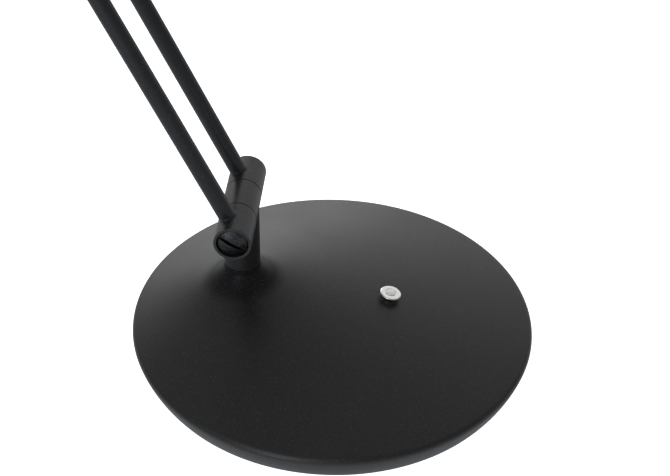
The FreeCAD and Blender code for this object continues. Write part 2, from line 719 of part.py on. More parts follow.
# ---- head, in the tilt axis's frame ------------------------------------------
HEAD_SLOT_W = 1.6
HEAD_SLOT_DEPTH = 1.6
HEAD_BOLT_SEAT = 13.0
HEAD_BOLT_EDGE = 16.9
HEAD_BOLT_HEAD_R = 6.25
HEAD_COUNTERBORE_R = 6.7
HEAD_BOLT_END = 15.0
WEB_HALF = 5.0
BRIDGE_LOW_Z = -24.0
BRIDGE_TOP_Z = -15.0
YOKE_STEM_R = 7.5
YOKE_STEM_LOW_Z = -44.0
LIGHT_X = SHADE_AHEAD


def head_yoke():
    """Two ears round the knuckle, a bridge and the stem that holds the shade."""
    inner = HEAD_HUB_HALF + WASHER_T
    web_top = -4.0
    ear = rod_y(HEAD_BARREL_R, inner, HEAD_BARREL_HALF)
    web = block(-WEB_HALF, WEB_HALF, inner, HEAD_BARREL_HALF, BRIDGE_LOW_Z, web_top)
    side = ear.fuse(web).cut(rod_y(HEAD_BOLT_R + RUN_GAP, 0, HEAD_BARREL_HALF + PAST))
    side = side.cut(rod_y(HEAD_COUNTERBORE_R, HEAD_BOLT_SEAT, HEAD_BARREL_HALF + PAST))
    bridge = bar(WEB_HALF, HEAD_BARREL_HALF, BRIDGE_LOW_Z, BRIDGE_TOP_Z)
    stem = rod_z(YOKE_STEM_R, SHADE_TOP_Z, BRIDGE_LOW_Z + PAST)
    stem = stem.fuse(rod_z(SHADE_STEM_R, YOKE_STEM_LOW_Z, SHADE_TOP_Z + PAST))
    return side.fuse(mirrored(side)).fuse(bridge).fuse(stem).removeSplitter()


def head_pivot_end(turn):
    """Slotted end of the tilt hinge's bolt or nut, on the +Y side."""
    return slotted_head(HEAD_BOLT_SEAT, HEAD_BOLT_EDGE, HEAD_BARREL_HALF, HEAD_BOLT_HEAD_R,
                        HEAD_SLOT_DEPTH, HEAD_SLOT_W, turn)


def head_pivot_bolt():
    slot_turn = 20.0
    shank = rod_y(HEAD_BOLT_R, -HEAD_BOLT_SEAT - PAST, HEAD_BOLT_END)
    return mirrored(head_pivot_end(slot_turn)).fuse(shank)


def head_pivot_nut():
    slot_turn = 70.0
    return head_pivot_end(slot_turn).cut(rod_y(HEAD_BOLT_R + FIXED_GAP, 0, HEAD_BOLT_END + 0.4))


def head_friction_washers():
    outer = HEAD_BARREL_R - 0.5
    disc = ring_y(outer, HEAD_BOLT_R + RUN_GAP, HEAD_HUB_HALF, HEAD_HUB_HALF + WASHER_T)
    return Part.makeCompound([disc, mirrored(disc)])


def shade_form(crease_r, crease_z, rim_r, rim_z, bulge, fillet, top_z):
    """A round rim under the shade's own oblique cone."""
    disc, eave_r, eave_z = rim_disc(crease_r, crease_z, rim_r, rim_z, bulge, fillet)
    disc.translate(V(LIGHT_X, 0, 0))
    return disc.fuse(round_loft(eave_r, LIGHT_X, eave_z, SHADE_TOP_R, 0, top_z))


def shade():
    """Spun aluminium shade: the base's oblique cone again, at two thirds of its size."""
    outer = shade_form(SHADE_R, SHADE_CREASE_Z, 78.5, SHADE_RIM_Z, 0.2, 1.0, SHADE_TOP_Z)
    inner = shade_form(77.6, -55.2, 77.0, SHADE_RIM_Z - PAST, 0.1, 0.8, SHADE_TOP_Z - SHADE_WALL_T)
    hole = rod_z(SHADE_STEM_R + FIXED_GAP, YOKE_STEM_LOW_Z, SHADE_TOP_Z + PAST)
    return outer.cut(inner).cut(hole).removeSplitter()


def shade_nut():
    across_flats, thick = 14.0, 5.0
    top = SHADE_TOP_Z - SHADE_WALL_T
    return hexagon(across_flats, top - thick, top, SHADE_STEM_R + FIXED_GAP)


# light engine, downwards: heat sink, LED board, chips, diffuser, retaining ring
SINK_R = 76.4
SINK_LOW_Z = -59.0
SINK_TOP_Z = -57.0
SINK_FLOOR_Z = -58.0
SINK_WELL_R = 60.0
RIB_HALF = (65.0, 0.8)    # half length and half width
RIB_Z = (-58.4, -56.4)
RIB_STEP = 30             # degrees
LED_BOARD_R = (30.0, 68.0)
LED_BOARD_T = 1.6
CHIP_RADII = (55.0, 58.0)
CHIP_HALF = 1.5
CHIP_T = 0.8
CHIP_COUNT = 24
OPAL_R = 75.5
OPAL_Z = (-65.2, -63.0)
RING_IN_R = 73.4
RING_OUT_R = 76.8
RING_TOP_Z = -62.5
RING_LIP_Z = -65.3


def heat_sink():
    """Aluminium plate with a raised edge and radial ribs."""
    plate = rod_z(SINK_R, SINK_LOW_Z, SINK_TOP_Z, LIGHT_X)
    plate = plate.cut(rod_z(SINK_WELL_R, SINK_FLOOR_Z, SINK_TOP_Z + PAST, LIGHT_X))
    for turn in range(0, 180, RIB_STEP):
        rib = bar(*RIB_HALF, *RIB_Z)
        rib.rotate(V(0, 0, 0), AXIS_Z, turn)
        rib.translate(V(LIGHT_X, 0, 0))
        plate = plate.fuse(rib)
    return plate.removeSplitter()


def led_board():
    inner, outer = LED_BOARD_R
    return ring_z(outer, inner, SINK_LOW_Z - LED_BOARD_T, SINK_LOW_Z, LIGHT_X)


def led_chips():
    """A ring of LED chips under the board."""
    board_low = SINK_LOW_Z - LED_BOARD_T
    chips = []
    for i in range(CHIP_COUNT):
        chip = block(*CHIP_RADII, -CHIP_HALF, CHIP_HALF, board_low - CHIP_T, board_low)
        chip.rotate(V(0, 0, 0), AXIS_Z, i * 360 / CHIP_COUNT)
        chip.translate(V(LIGHT_X, 0, 0))
        chips.append(chip)
    return Part.makeCompound(chips)


def diffuser():
    return rod_z(OPAL_R, *OPAL_Z, LIGHT_X)


def retaining_ring():
    """Lip that holds the diffuser, pressed into the shade's rim."""
    step_r = OPAL_R + 0.1
    ring = turned([(RING_IN_R, SHADE_RIM_Z), (RING_OUT_R, SHADE_RIM_Z), (RING_OUT_R, RING_TOP_Z),
                   (step_r, RING_TOP_Z), (step_r, RING_LIP_Z), (RING_IN_R, RING_LIP_Z)])
    ring.translate(V(LIGHT_X, 0, 0))
    return ring


# ---- assembly ----------------------------------------------------------------
def add_base():
    for make in (base_cover, cover_lugs, base_weight, base_plate, foot_pad, base_screws,
                 cord_bushing, swivel_bush, swivel_stop_pin, switch_bush, switch_body,
                 switch_screws, driver_tray, driver_board, driver_parts, button_cap,
                 button_insert, switch_spring, post, swivel_washer, swivel_stop_washer,
                 swivel_spring_washer, swivel_lock_nut):
        parts[make.__name__] = make()


def add_hinge(name, at, collar_turn, hub_turn):
    """The bolt, nut, washers, bushes and outer segments of one three-segment barrel."""
    def group(pieces, turn):
        return Part.makeCompound([placed(piece, at, turn) for piece in pieces])

    parts[name + "_pivot_bolt"] = placed(pivot_bolt(), at, collar_turn)
    parts[name + "_pivot_nut"] = placed(pivot_nut(), at, collar_turn)
    parts[name + "_spring_washers"] = group(spring_washers(), collar_turn)
    parts[name + "_friction_washers"] = group(friction_washers(), collar_turn)
    parts[name + "_hub_bushes"] = group(hub_bushes(), hub_turn)
    parts[name + "_collar_rear"] = placed(rod_collar(), at, collar_turn)
    parts[name + "_collar_front"] = placed(mirrored(rod_collar()), at, collar_turn)


def add_arms():
    add_hinge("lower", LOWER_PIVOT, -LEAN, 0.0)
    add_hinge("elbow", ELBOW, 180.0 - LEAN, UPPER_TURN)
    parts["rod_rear"] = placed(lower_rod(), LOWER_PIVOT, -LEAN)
    parts["rod_front"] = placed(mirrored(lower_rod()), LOWER_PIVOT, -LEAN)
    parts["lower_arm_lead"] = placed(lower_arm_lead(), LOWER_PIVOT, -LEAN)
    for make in (elbow_hub, upper_tube, upper_end_collar, roll_bush, upper_arm_lead):
        parts[make.__name__] = placed(make(), ELBOW, UPPER_TURN)


def add_head():
    for make in (head_knuckle, roll_washer, roll_circlip):
        parts[make.__name__] = placed(make(), HEAD_PIVOT, UPPER_TURN)
    for make in (head_friction_washers, head_yoke, head_pivot_bolt, head_pivot_nut, shade,
                 shade_nut, heat_sink, led_board, led_chips, diffuser, retaining_ring):
        parts[make.__name__] = placed(make(), HEAD_PIVOT)


def main():
    os.makedirs("parts", exist_ok=True)
    add_base()
    add_arms()
    add_head()
    for name, shape in parts.items():
        shape.exportStep("parts/" + name + ".step")
        solids = len(shape.Solids)
        print(f"{name}: {solids} solid(s), {shape.Volume:.1f} mm3, valid {shape.isValid()}")
    print("slope", round(CONE_SLOPE, 2), "elbow", ELBOW, "head", HEAD_PIVOT, "nodes", len(parts))


main()
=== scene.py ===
"""Looks of the architect desk lamp: black powder coat, chrome button, opal LED head."""

import json
import math

import bmesh
import bpy
from mathutils import Matrix, Vector


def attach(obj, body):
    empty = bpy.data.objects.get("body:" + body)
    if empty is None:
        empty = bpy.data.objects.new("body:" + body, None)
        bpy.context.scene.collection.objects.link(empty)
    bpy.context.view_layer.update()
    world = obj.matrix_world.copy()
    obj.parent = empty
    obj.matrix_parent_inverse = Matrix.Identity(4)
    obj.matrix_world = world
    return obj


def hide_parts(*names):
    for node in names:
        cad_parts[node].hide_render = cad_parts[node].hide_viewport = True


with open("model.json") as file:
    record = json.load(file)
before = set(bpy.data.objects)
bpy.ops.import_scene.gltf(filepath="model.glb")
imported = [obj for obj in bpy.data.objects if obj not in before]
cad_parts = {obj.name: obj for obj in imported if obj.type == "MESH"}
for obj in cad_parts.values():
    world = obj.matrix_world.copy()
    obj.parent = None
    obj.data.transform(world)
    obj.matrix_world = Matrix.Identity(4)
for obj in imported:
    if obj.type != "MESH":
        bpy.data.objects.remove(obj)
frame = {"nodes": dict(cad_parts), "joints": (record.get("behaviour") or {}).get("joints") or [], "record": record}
NODES = frame["nodes"]
SLOTS = {part["node"]: part["material_slot"] for part in frame["record"]["subparts"]}
BODY_OF = {node: body for body, nodes in frame["record"]["behaviour"]["bodies"].items()
           for node in nodes}
JOINTS = {joint["name"]: joint for joint in frame["joints"]}
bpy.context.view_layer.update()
MM = 0.001
SHARP_ANGLE = 35             # edges sharper than this stay crisp, degrees

# ---- dimensions, in millimetres ----------------------------------------------
# base cover and its collar
CREASE_R = 120.0
CREASE_Z = 18.2
CREASE_FILLET = 3.2
FOOT_R = 114.1
WALL_FOOT_Z = 0.8
WALL_BULGE = 0.7
WALL_T = 2.4
NECK_R = 10.8
NECK_Z = 45.3
FLARE_TOP_Z = 51.4           # where the collar turns into the flare
FLARE_REACH = 5.0            # distance in which the flare sinks to 1/e of its rise over the slope
FLARE_TAIL = math.exp(-5)    # share of the rise still left at the flare's end, taken off evenly
FLARE_END_R = 36.0
FLARE_CROWDING = 1.6         # above 1, rows crowd towards the collar
SLOPE_CROWDING = 1.3         # the same for the slope below the flare
BEAD_OUT = 0.3               # the small bead where the collar turns into the flare
BEAD_HEIGHTS = (0.5, 0.35, 0.1)    # its top, edge and foot above the flare
BEARING_R = 7.52
CAVITY_TOP_R = 14.0
CAVITY_TOP_Z = 41.3
CAVITY_EAVE_R = 116.2
CAVITY_EAVE_Z = 15.0
WALL_LEAN = math.degrees(math.atan2(CREASE_R - FOOT_R, CREASE_Z - WALL_FOOT_Z))
INLET_Z = 9.0
INLET_R = 4.62

# post, barrels and arms
BARREL_R = 10.5
SEAM_Z = 53.7
SEAM_T = 0.5
HUB_HALF = 11.6
WASHER_T = 0.4
BARREL_HALF = 36.5
BUSH_BORE_R = 5.5
BOLT_R = 4.0
BOLT_HEAD_R = 8.45
COUNTERBORE_R = 8.95
COUNTERBORE_FLOOR = 29.4
CUT_HALF = 20.0              # half length of a cutter that goes right through a hub
SLIP = 0.02                  # gap round a shank in its nut
HEAD_SEAT = 31.0
HEAD_EDGE = 35.4
HEAD_APEX = 37.2
SLOT_W = 2.0
SLOT_DEPTH = 2.6
SLOT_TURNS = {"bolt": 55.0, "nut": 50.0}
ROD_R = 4.9
ROD_Y = 22.8
TUBE_R = 7.0
WELD = 0.8                   # fillet where a rod meets its barrel
SOFT_EDGE = 0.3
TILT_BORE_R = 3.05           # through the knuckle and the yoke

# head, from the tilt axis
SHADE_X = 36.0
SHADE_TOP_R = 9.0
SHADE_TOP_Z = -33.8
SHADE_FOOT_Z = -66.0

# button, heights above the cover along its own axis
BUTTON_X = 33.45
BUTTON_SLOPE = 9.7438
BUTTON_R = 6.3
BUTTON_TOP = 4.2
BUTTON_UNDER = 2.9
STEM_R = 3.7
BUTTON_HOLE_R = 4.6
DISC_SEAT = 3.6

# ---- places, from the frame ----------------------------------------------------
APEX_X = JOINTS["base_swivel"]["pos_m"][0] / MM
LOWER_PIVOT, ELBOW, HEAD_PIVOT = (Vector(JOINTS[name]["pos_m"]) / MM
                                  for name in ("lower_hinge", "elbow_hinge", "head_tilt"))
HEAD_REACH = (HEAD_PIVOT - ELBOW).length
TUBE_END = HEAD_REACH - 27.0
HINGE_AXIS = Vector((0, 1, 0))
OUT_REAR = Matrix.Rotation(math.radians(-90), 4, "X")    # turns Z to +Y
OUT_FRONT = Matrix.Rotation(math.radians(90), 4, "X")    # turns Z to -Y


def at_pivot(pivot, towards):
    """The place of a part built about a hinge axis on Y, with Z towards a point."""
    along = (towards - pivot).normalized()
    turn = Matrix((HINGE_AXIS.cross(along), HINGE_AXIS, along)).transposed().to_4x4()
    return Matrix.Translation(pivot) @ turn


AT_LOWER = at_pivot(LOWER_PIVOT, ELBOW)
AT_ELBOW = at_pivot(ELBOW, LOWER_PIVOT)
AT_UPPER = at_pivot(ELBOW, HEAD_PIVOT)
AT_KNUCKLE = Matrix.Translation(HEAD_PIVOT - ELBOW) @ AT_UPPER
AT_HEAD = Matrix.Translation(HEAD_PIVOT)


# ---- camera, floor and light -------------------------------------------------
VIEW_AZIMUTH = 2.87          # degrees, 0 looks along +Y
VIEW_ELEVATION = 37.09
VIEW_ROLL = 1.51
VIEW_DISTANCE = 0.7364       # to the plane through the aim point, metres
AIM_RIGHT = 0.00165          # aim point from the base's centre, in the view plane
AIM_UP = 0.0593
LENS = 64.48                 # for a 36 mm wide sensor
# brightness of the surroundings against how far a direction points to the backdrop, -1 to 1
BACKDROP = ((-1.0, 0.27), (-0.3, 0.26), (0.0, 0.29), (0.3, 0.315), (0.45, 0.36), (0.6, 0.44),
            (0.7, 0.58), (0.8, 0.74), (0.9, 0.92), (1.0, 1.02))
BACKDROP_TURN = -4.0         # how far the backdrop's middle is to the right, degrees
PANEL_AIM = (-16.0, 10.0)    # azimuth and elevation of a brighter panel on the backdrop
PANEL_REACH = 0.90           # cosine of the angle where the panel has faded out
PANEL_GLOW = 0.75
FLOOR_WHITE = 0.75
FLOOR_LIFT = 1.0             # whitens the bare floor for the camera only
FLOOR_GLOW = 0.30            # light that the wide white floor adds to reflections
FLOOR_TINT = (0.90, 0.95, 1, 1)
FLOOR_HALF = 4.0
FLOOR_DROP = 0.0002          # keeps the floor clear of the pad
# name, place, aim, width and height, all in metres, then watts and colour
LIGHTS = (("softbox", (-0.9, -1.2, 1.9), (0, 0, 0), (2.4, 2.4), 4.0, (1, 1, 1)),
          ("low_lamp", (-0.40, -1.10, 0.17), (-0.054, -0.03, 0.09), (0.26, 0.26), 1.4,
           (0.92, 0.96, 1.0)),
          ("front_lamp", (-0.50, -1.15, 0.95), (0, 0, 0.03), (0.45, 0.45), 2.2,
           (0.88, 0.93, 1.0)))


def add_camera():
    az, el, roll = (math.radians(a) for a in (VIEW_AZIMUTH, VIEW_ELEVATION, VIEW_ROLL))
    back = Vector((math.sin(az) * math.cos(el), -math.cos(az) * math.cos(el), math.sin(el)))
    right = Vector((0, 0, 1)).cross(back).normalized()
    up = back.cross(right)
    rolled_right = right * math.cos(roll) + up * math.sin(roll)
    rolled_up = up * math.cos(roll) - right * math.sin(roll)
    data = bpy.data.cameras.new("camera")
    data.lens = LENS
    data.sensor_width = 36.0
    data.clip_start = 0.01
    camera = bpy.data.objects.new("camera", data)
    turn = Matrix((rolled_right, rolled_up, back)).transposed().to_4x4()
    place = back * VIEW_DISTANCE + rolled_right * AIM_RIGHT + rolled_up * AIM_UP
    camera.matrix_world = Matrix.Translation(place) @ turn
    bpy.context.scene.collection.objects.link(camera)
    bpy.context.scene.camera = camera


class Nodes:
    """A short way to build a node material."""

    def __init__(self, name):
        self.material = bpy.data.materials.new(name)
        self.material.use_nodes = True
        self.tree = self.material.node_tree
        self.shader = self.tree.nodes["Principled BSDF"]

    @classmethod
    def of(cls, material):
        """The nodes of a material that is already made."""
        kit = cls.__new__(cls)
        kit.material, kit.tree = material, material.node_tree
        kit.shader = kit.tree.nodes["Principled BSDF"]
        return kit

    def add(self, kind, **settings):
        node = self.tree.nodes.new(kind)
        for key, value in settings.items():
            if hasattr(node, key):
                setattr(node, key, value)
            else:
                node.inputs[key.replace("_", " ").title()].default_value = value
        return node

    def join(self, output, target):
        self.tree.links.new(output, target)

    def set(self, **values):
        for key, value in values.items():
            name = key.replace("_", " ").title().replace("Ior", "IOR")
            self.shader.inputs[name].default_value = value


def add_world():
    """A soft backdrop behind the lamp that fades to a dimmer room; the camera sees plain white."""
    world = bpy.data.worlds.new("studio")
    bpy.context.scene.world = world
    world.use_nodes = True
    tree = world.node_tree
    place = tree.nodes.new("ShaderNodeTexCoord")
    towards = tree.nodes.new("ShaderNodeVectorMath")
    spread = tree.nodes.new("ShaderNodeMapRange")
    ramp = tree.nodes.new("ShaderNodeValToRGB")
    turn = math.radians(BACKDROP_TURN)
    towards.operation = "DOT_PRODUCT"
    towards.inputs[1].default_value = (math.sin(turn), math.cos(turn), 0)
    spread.inputs["From Min"].default_value = -1
    tree.links.new(place.outputs["Generated"], towards.inputs[0])
    tree.links.new(towards.outputs["Value"], spread.inputs["Value"])
    tree.links.new(spread.outputs["Result"], ramp.inputs[0])
    az, el = (math.radians(angle) for angle in PANEL_AIM)
    facing = tree.nodes.new("ShaderNodeVectorMath")
    panel = tree.nodes.new("ShaderNodeMapRange")
    both = tree.nodes.new("ShaderNodeVectorMath")
    facing.operation = "DOT_PRODUCT"
    facing.inputs[1].default_value = (math.sin(az) * math.cos(el), math.cos(az) * math.cos(el),
                                      math.sin(el))
    panel.interpolation_type = "SMOOTHSTEP"
    panel.inputs["From Min"].default_value = PANEL_REACH
    panel.inputs["To Max"].default_value = PANEL_GLOW
    tree.links.new(place.outputs["Generated"], facing.inputs[0])
    tree.links.new(facing.outputs["Value"], panel.inputs["Value"])
    tree.links.new(ramp.outputs[0], both.inputs[0])
    tree.links.new(panel.outputs["Result"], both.inputs[1])
    rays = tree.nodes.new("ShaderNodeLightPath")
    seen = tree.nodes.new("ShaderNodeMix")
    seen.data_type = "RGBA"
    seen.inputs["B"].default_value = (1, 1, 1, 1)
    tree.links.new(rays.outputs["Is Camera Ray"], seen.inputs["Factor"])
    tree.links.new(both.outputs[0], seen.inputs["A"])
    tree.links.new(seen.outputs["Result"], tree.nodes["Background"].inputs[0])
    stops = ramp.color_ramp.elements
    while len(stops) > 1:
        stops.remove(stops[-1])
    for i, (share, glow) in enumerate(BACKDROP):
        stop = stops[0] if i == 0 else stops.new((share + 1) / 2)
        stop.position = (share + 1) / 2
        stop.color = (glow, glow, glow, 1)


def add_floor():
    mesh = bpy.data.meshes.new("floor")
    build = bmesh.new()
    bmesh.ops.create_grid(build, x_segments=2, y_segments=2, size=FLOOR_HALF)
    build.to_mesh(mesh)
    build.free()
    floor = bpy.data.objects.new("floor", mesh)
    floor.location.z = -FLOOR_DROP
    bpy.context.scene.collection.objects.link(floor)
    kit = Nodes("floor_white")
    kit.set(base_color=(FLOOR_WHITE, FLOOR_WHITE, FLOOR_WHITE, 1), roughness=0.9,
            specular_ior_level=0.0, emission_color=FLOOR_TINT)
    rays = kit.add("ShaderNodeLightPath")
    lift = kit.add("ShaderNodeMath", operation="MULTIPLY_ADD")
    lift.inputs[1].default_value = FLOOR_LIFT
    lift.inputs[2].default_value = FLOOR_GLOW
    kit.join(rays.outputs["Is Camera Ray"], lift.inputs[0])
    kit.join(lift.outputs[0], kit.shader.inputs["Emission Strength"])
    mesh.materials.append(kit.material)


def add_light(name, place, aim, size, power, colour):
    data = bpy.data.lights.new(name, "AREA")
    data.shape = "RECTANGLE"
    data.size, data.size_y = size
    data.energy = power
    data.color = colour
    light = bpy.data.objects.new(name, data)
    light.location = place
    light.rotation_euler = (Vector(aim) - Vector(place)).to_track_quat("-Z", "Y").to_euler()
    bpy.context.scene.collection.objects.link(light)


# ---- materials ---------------------------------------------------------------
def mixed(kit, share, low, high):
    """A colour between two, by a share from 0 to 1."""
    mix = kit.add("ShaderNodeMix", data_type="RGBA")
    kit.join(share, mix.inputs["Factor"])
    for socket, colour in (("A", low), ("B", high)):
        if isinstance(colour, tuple):
            mix.inputs[socket].default_value = (*colour, 1)
        else:
            kit.join(colour, mix.inputs[socket])
    return mix.outputs["Result"]


def ranged(kit, value, low, high, from_low=0.0, from_high=1.0):
    """A value moved from one range to another and kept inside it."""
    change = kit.add("ShaderNodeMapRange")
    kit.join(value, change.inputs["Value"])
    for name, number in (("From Min", from_low), ("From Max", from_high),
                         ("To Min", low), ("To Max", high)):
        change.inputs[name].default_value = number
    return change.outputs["Result"]


def noise(kit, scale, detail=3.0):
    place = kit.add("ShaderNodeTexCoord")
    pattern = kit.add("ShaderNodeTexNoise", scale=scale, detail=detail)
    kit.join(place.outputs["Object"], pattern.inputs["Vector"])
    return pattern.outputs["Fac"]


def flecks(kit, scale, size, share):
    """Small round light flecks: 1 on a fleck, 0 elsewhere, on a share of the cells."""
    place = kit.add("ShaderNodeTexCoord")
    cells = kit.add("ShaderNodeTexVoronoi", scale=scale)
    kit.join(place.outputs["Object"], cells.inputs["Vector"])
    spot = ranged(kit, cells.outputs["Distance"], 1.0, 0.0, size * 0.5, size)
    split = kit.add("ShaderNodeSeparateColor")
    kit.join(cells.outputs["Color"], split.inputs["Color"])
    chosen = ranged(kit, split.outputs["Red"], 0.0, 1.0, 1 - share, 1.0)
    both = kit.add("ShaderNodeMath", operation="MULTIPLY")
    kit.join(spot, both.inputs[0])
    kit.join(chosen, both.inputs[1])
    return both.outputs[0]


def bumped(kit, heights):
    """Stacks (height, depth in metres, strength) bumps onto the shader's normal."""
    below = None
    for height, depth, strength in heights:
        relief = kit.add("ShaderNodeBump")
        relief.inputs["Distance"].default_value = depth
        relief.inputs["Strength"].default_value = strength
        kit.join(height, relief.inputs["Height"])
        if below is not None:
            kit.join(below, relief.inputs["Normal"])
        below = relief.outputs["Normal"]
    kit.join(below, kit.shader.inputs["Normal"])


# paint texture: scales in cells per metre, depths in metres
GRAIN_SCALE, GRAIN_DEPTH, GRAIN_STRENGTH = 1050.0, 0.00002, 0.5
PEEL_SCALE = 1200.0
BROAD_SCALE = 30.0
FLECK_SCALE, FLECK_SIZE, FLECK_SHARE = 760.0, 0.24, 0.6
FLECK_COLOUR = (0.075, 0.078, 0.088)
CONTRAST = (0.35, 0.65)      # the part of a noise that spreads over the whole range
# painted shade round the post's foot, as a lowered specular level: level from and to, distance from and to in
# metres
POST_SHADE_BANDS = ((0.0, 0.28, 0.019, 0.026), (0.10, 0.22, 0.014, 0.048))


def powder_coat(name, dark, light, roughness, peel=0.00004, **more):
    """Fine-textured black powder coat: orange peel, tiny grains and a few light flecks."""
    kit = Nodes(name)
    fine, peel_pattern = noise(kit, GRAIN_SCALE), noise(kit, PEEL_SCALE, 2.0)
    broad = noise(kit, BROAD_SCALE, 4.0)
    paint = mixed(kit, ranged(kit, fine, 0.0, 1.0, *CONTRAST), dark, light)
    shade = mixed(kit, ranged(kit, broad, 0.0, 0.35, 0.35, 0.75), paint, light)
    spots = flecks(kit, FLECK_SCALE, FLECK_SIZE, FLECK_SHARE)
    kit.join(mixed(kit, spots, shade, FLECK_COLOUR), kit.shader.inputs["Base Color"])
    kit.join(ranged(kit, broad, roughness - 0.05, roughness + 0.05), kit.shader.inputs["Roughness"])
    bumped(kit, ((peel_pattern, peel, 1.0), (fine, GRAIN_DEPTH, GRAIN_STRENGTH)))
    kit.set(**more)
    return kit.material


def painted_shade_round_post(material):
    """Painted shade round the post's foot: the specular level is lowered there to stand in for the post's dark
    reflection and shadow.
    """
    kit = Nodes.of(material)
    place = kit.add("ShaderNodeTexCoord")
    from_axis = kit.add("ShaderNodeVectorMath", operation="SUBTRACT")
    from_axis.inputs[1].default_value = (APEX_X * MM, 0, 0)
    flat = kit.add("ShaderNodeVectorMath", operation="MULTIPLY")
    flat.inputs[1].default_value = (1, 1, 0)
    length = kit.add("ShaderNodeVectorMath", operation="LENGTH")
    kit.join(place.outputs["Object"], from_axis.inputs[0])
    kit.join(from_axis.outputs[0], flat.inputs[0])
    kit.join(flat.outputs[0], length.inputs[0])
    near, wide = (ranged(kit, length.outputs["Value"], *band) for band in POST_SHADE_BANDS)
    total = kit.add("ShaderNodeMath", operation="ADD")
    kit.join(near, total.inputs[0])
    kit.join(wide, total.inputs[1])
    kit.join(total.outputs[0], kit.shader.inputs["Specular IOR Level"])
    return material


def plain(name, colour, roughness, grain, detail, smoother, **more):
    """One colour whose gloss varies with a fine grain."""
    kit = Nodes(name)
    gloss = ranged(kit, noise(kit, grain, detail), roughness - smoother, roughness + 0.06)
    kit.join(gloss, kit.shader.inputs["Roughness"])
    kit.set(base_color=(*colour, 1), **more)
    return kit.material


def plain_metal(name, colour, roughness):
    return plain(name, colour, roughness, 900.0, 3.0, 0.04, metallic=1.0)


def moulded(name, colour, roughness, grain=1500.0):
    return plain(name, colour, roughness, grain, 2.0, 0.06)


def blacked_steel(name, dark, light, roughness):
    """Chemically blacked steel, mottled and slightly uneven."""
    kit = Nodes(name)
    blotch, pits = noise(kit, 700.0, 3.0), noise(kit, 1600.0, 2.0)
    colour = mixed(kit, ranged(kit, blotch, 0.0, 1.0, *CONTRAST), dark, light)
    kit.join(colour, kit.shader.inputs["Base Color"])
    kit.join(ranged(kit, pits, roughness - 0.05, roughness + 0.07), kit.shader.inputs["Roughness"])
    bumped(kit, ((blotch, 0.00025, 1.0), (pits, 0.00006, 0.7)))
    kit.set(metallic=1.0)
    return kit.material


MATERIALS = {
    # painted shade: the post's paint is a darker copy of the arm paint, to keep the post dark under the lamps
    "cover_paint": powder_coat("post_powder_painted_shade", (0.003, 0.003, 0.003), (0.020, 0.020, 0.021),
                               0.40, 0.00010),
    "arm_paint": powder_coat("arm_powder", (0.003, 0.003, 0.003), (0.030, 0.030, 0.031),
                             0.42, 0.00014),
    "rod_paint": powder_coat("rod_satin", (0.0065, 0.0075, 0.009), (0.011, 0.0125, 0.0145),
                             0.38, 0.00005, specular_tint=(0.94, 0.97, 1.0, 1),
                             specular_ior_level=0.40, sheen_weight=0.03, sheen_roughness=0.3,
                             sheen_tint=(0.92, 0.95, 1.0, 1)),
    "bolt_black": blacked_steel("bolt_blacked", (0.024, 0.025, 0.028), (0.054, 0.056, 0.062),
                                0.30),
    "cast_iron": moulded("cast_iron", (0.05, 0.05, 0.052), 0.8, 500.0),
    "zinc_steel": plain_metal("zinc_plate", (0.62, 0.62, 0.58), 0.35),
    "spring_steel": plain_metal("spring_steel", (0.5, 0.5, 0.52), 0.3),
    "foot_rubber": moulded("foot_rubber", (0.02, 0.02, 0.02), 0.85),
    "bronze": plain_metal("bronze", (0.62, 0.40, 0.18), 0.4),
    "black_nylon": moulded("black_nylon", (0.015, 0.015, 0.016), 0.6),
    "button_chrome": plain_metal("button_chrome", (1.0, 0.99, 0.94), 0.12),
    "button_satin": plain_metal("button_satin", (0.80, 0.81, 0.83), 0.32),
    "board": moulded("board_green", (0.02, 0.12, 0.05), 0.4),
    "electronics": moulded("component_black", (0.03, 0.03, 0.03), 0.5),
    "lead_sleeve": moulded("lead_sleeve", (0.03, 0.03, 0.03), 0.7),
    "bare_aluminium": plain_metal("bare_aluminium", (0.75, 0.76, 0.77), 0.35),
    "led_white": moulded("led_board_white", (0.8, 0.8, 0.78), 0.5),
    "led_phosphor": moulded("led_phosphor", (0.85, 0.65, 0.15), 0.4),
    "opal": moulded("opal_diffuser", (0.85, 0.85, 0.83), 0.45),
}
# the cover's own paint, with painted shade round the post's foot; the post shares its slot but keeps an even gloss
COVER_POWDER = powder_coat("cover_powder", (0.006, 0.006, 0.007), (0.016, 0.016, 0.017), 0.38)
COVER_MATERIALS = (painted_shade_round_post(COVER_POWDER),)
BOLT_MATERIALS = (MATERIALS["bolt_black"],
                  plain_metal("slot_worn_brown", (0.042, 0.034, 0.021), 0.5))


def paint_nodes():
    for name, node in NODES.items():
        node.data.materials.clear()
        node.data.materials.append(MATERIALS[SLOTS[name]])


# ---- mesh making: outlines and skins are in millimetres ------------------------
def rounded(corners, steps=5):
    """Points of an outline through (radius, height, fillet) corners."""
    points = []
    for i, (across, height, fillet) in enumerate(corners):
        here = Vector((across, height))
        if not fillet:
            points.append(here)
            continue
        back = (Vector(corners[i - 1][:2]) - here).normalized()
        ahead = (Vector(corners[(i + 1) % len(corners)][:2]) - here).normalized()
        half = back.angle(ahead) / 2
        centre = here + (back + ahead).normalized() * fillet / math.sin(half)
        spokes = [here + way * fillet / math.tan(half) - centre for way in (back, ahead)]
        first, last = (math.atan2(spoke.y, spoke.x) for spoke in spokes)
        sweep = (last - first + math.pi) % (2 * math.pi) - math.pi
        for k in range(steps + 1):
            turn = first + sweep * k / steps
            points.append(centre + Vector((math.cos(turn), math.sin(turn))) * fillet)
    return points


def skin(rows, loop=False):
    """A mesh over rows of points; a row of one is a pole, and loop joins the ends."""
    mesh = bmesh.new()
    made = [[mesh.verts.new(point) for point in row] for row in rows]
    following = made[1:] + made[:1] if loop else made[1:]
    for low, high in zip(made, following):
        count = max(len(low), len(high))
        for i in range(count):
            j = (i + 1) % count
            corners = (low[i % len(low)], low[j % len(low)],
                       high[j % len(high)], high[i % len(high)])
            mesh.faces.new(dict.fromkeys(corners))
    bmesh.ops.recalc_face_normals(mesh, faces=mesh.faces)
    return mesh


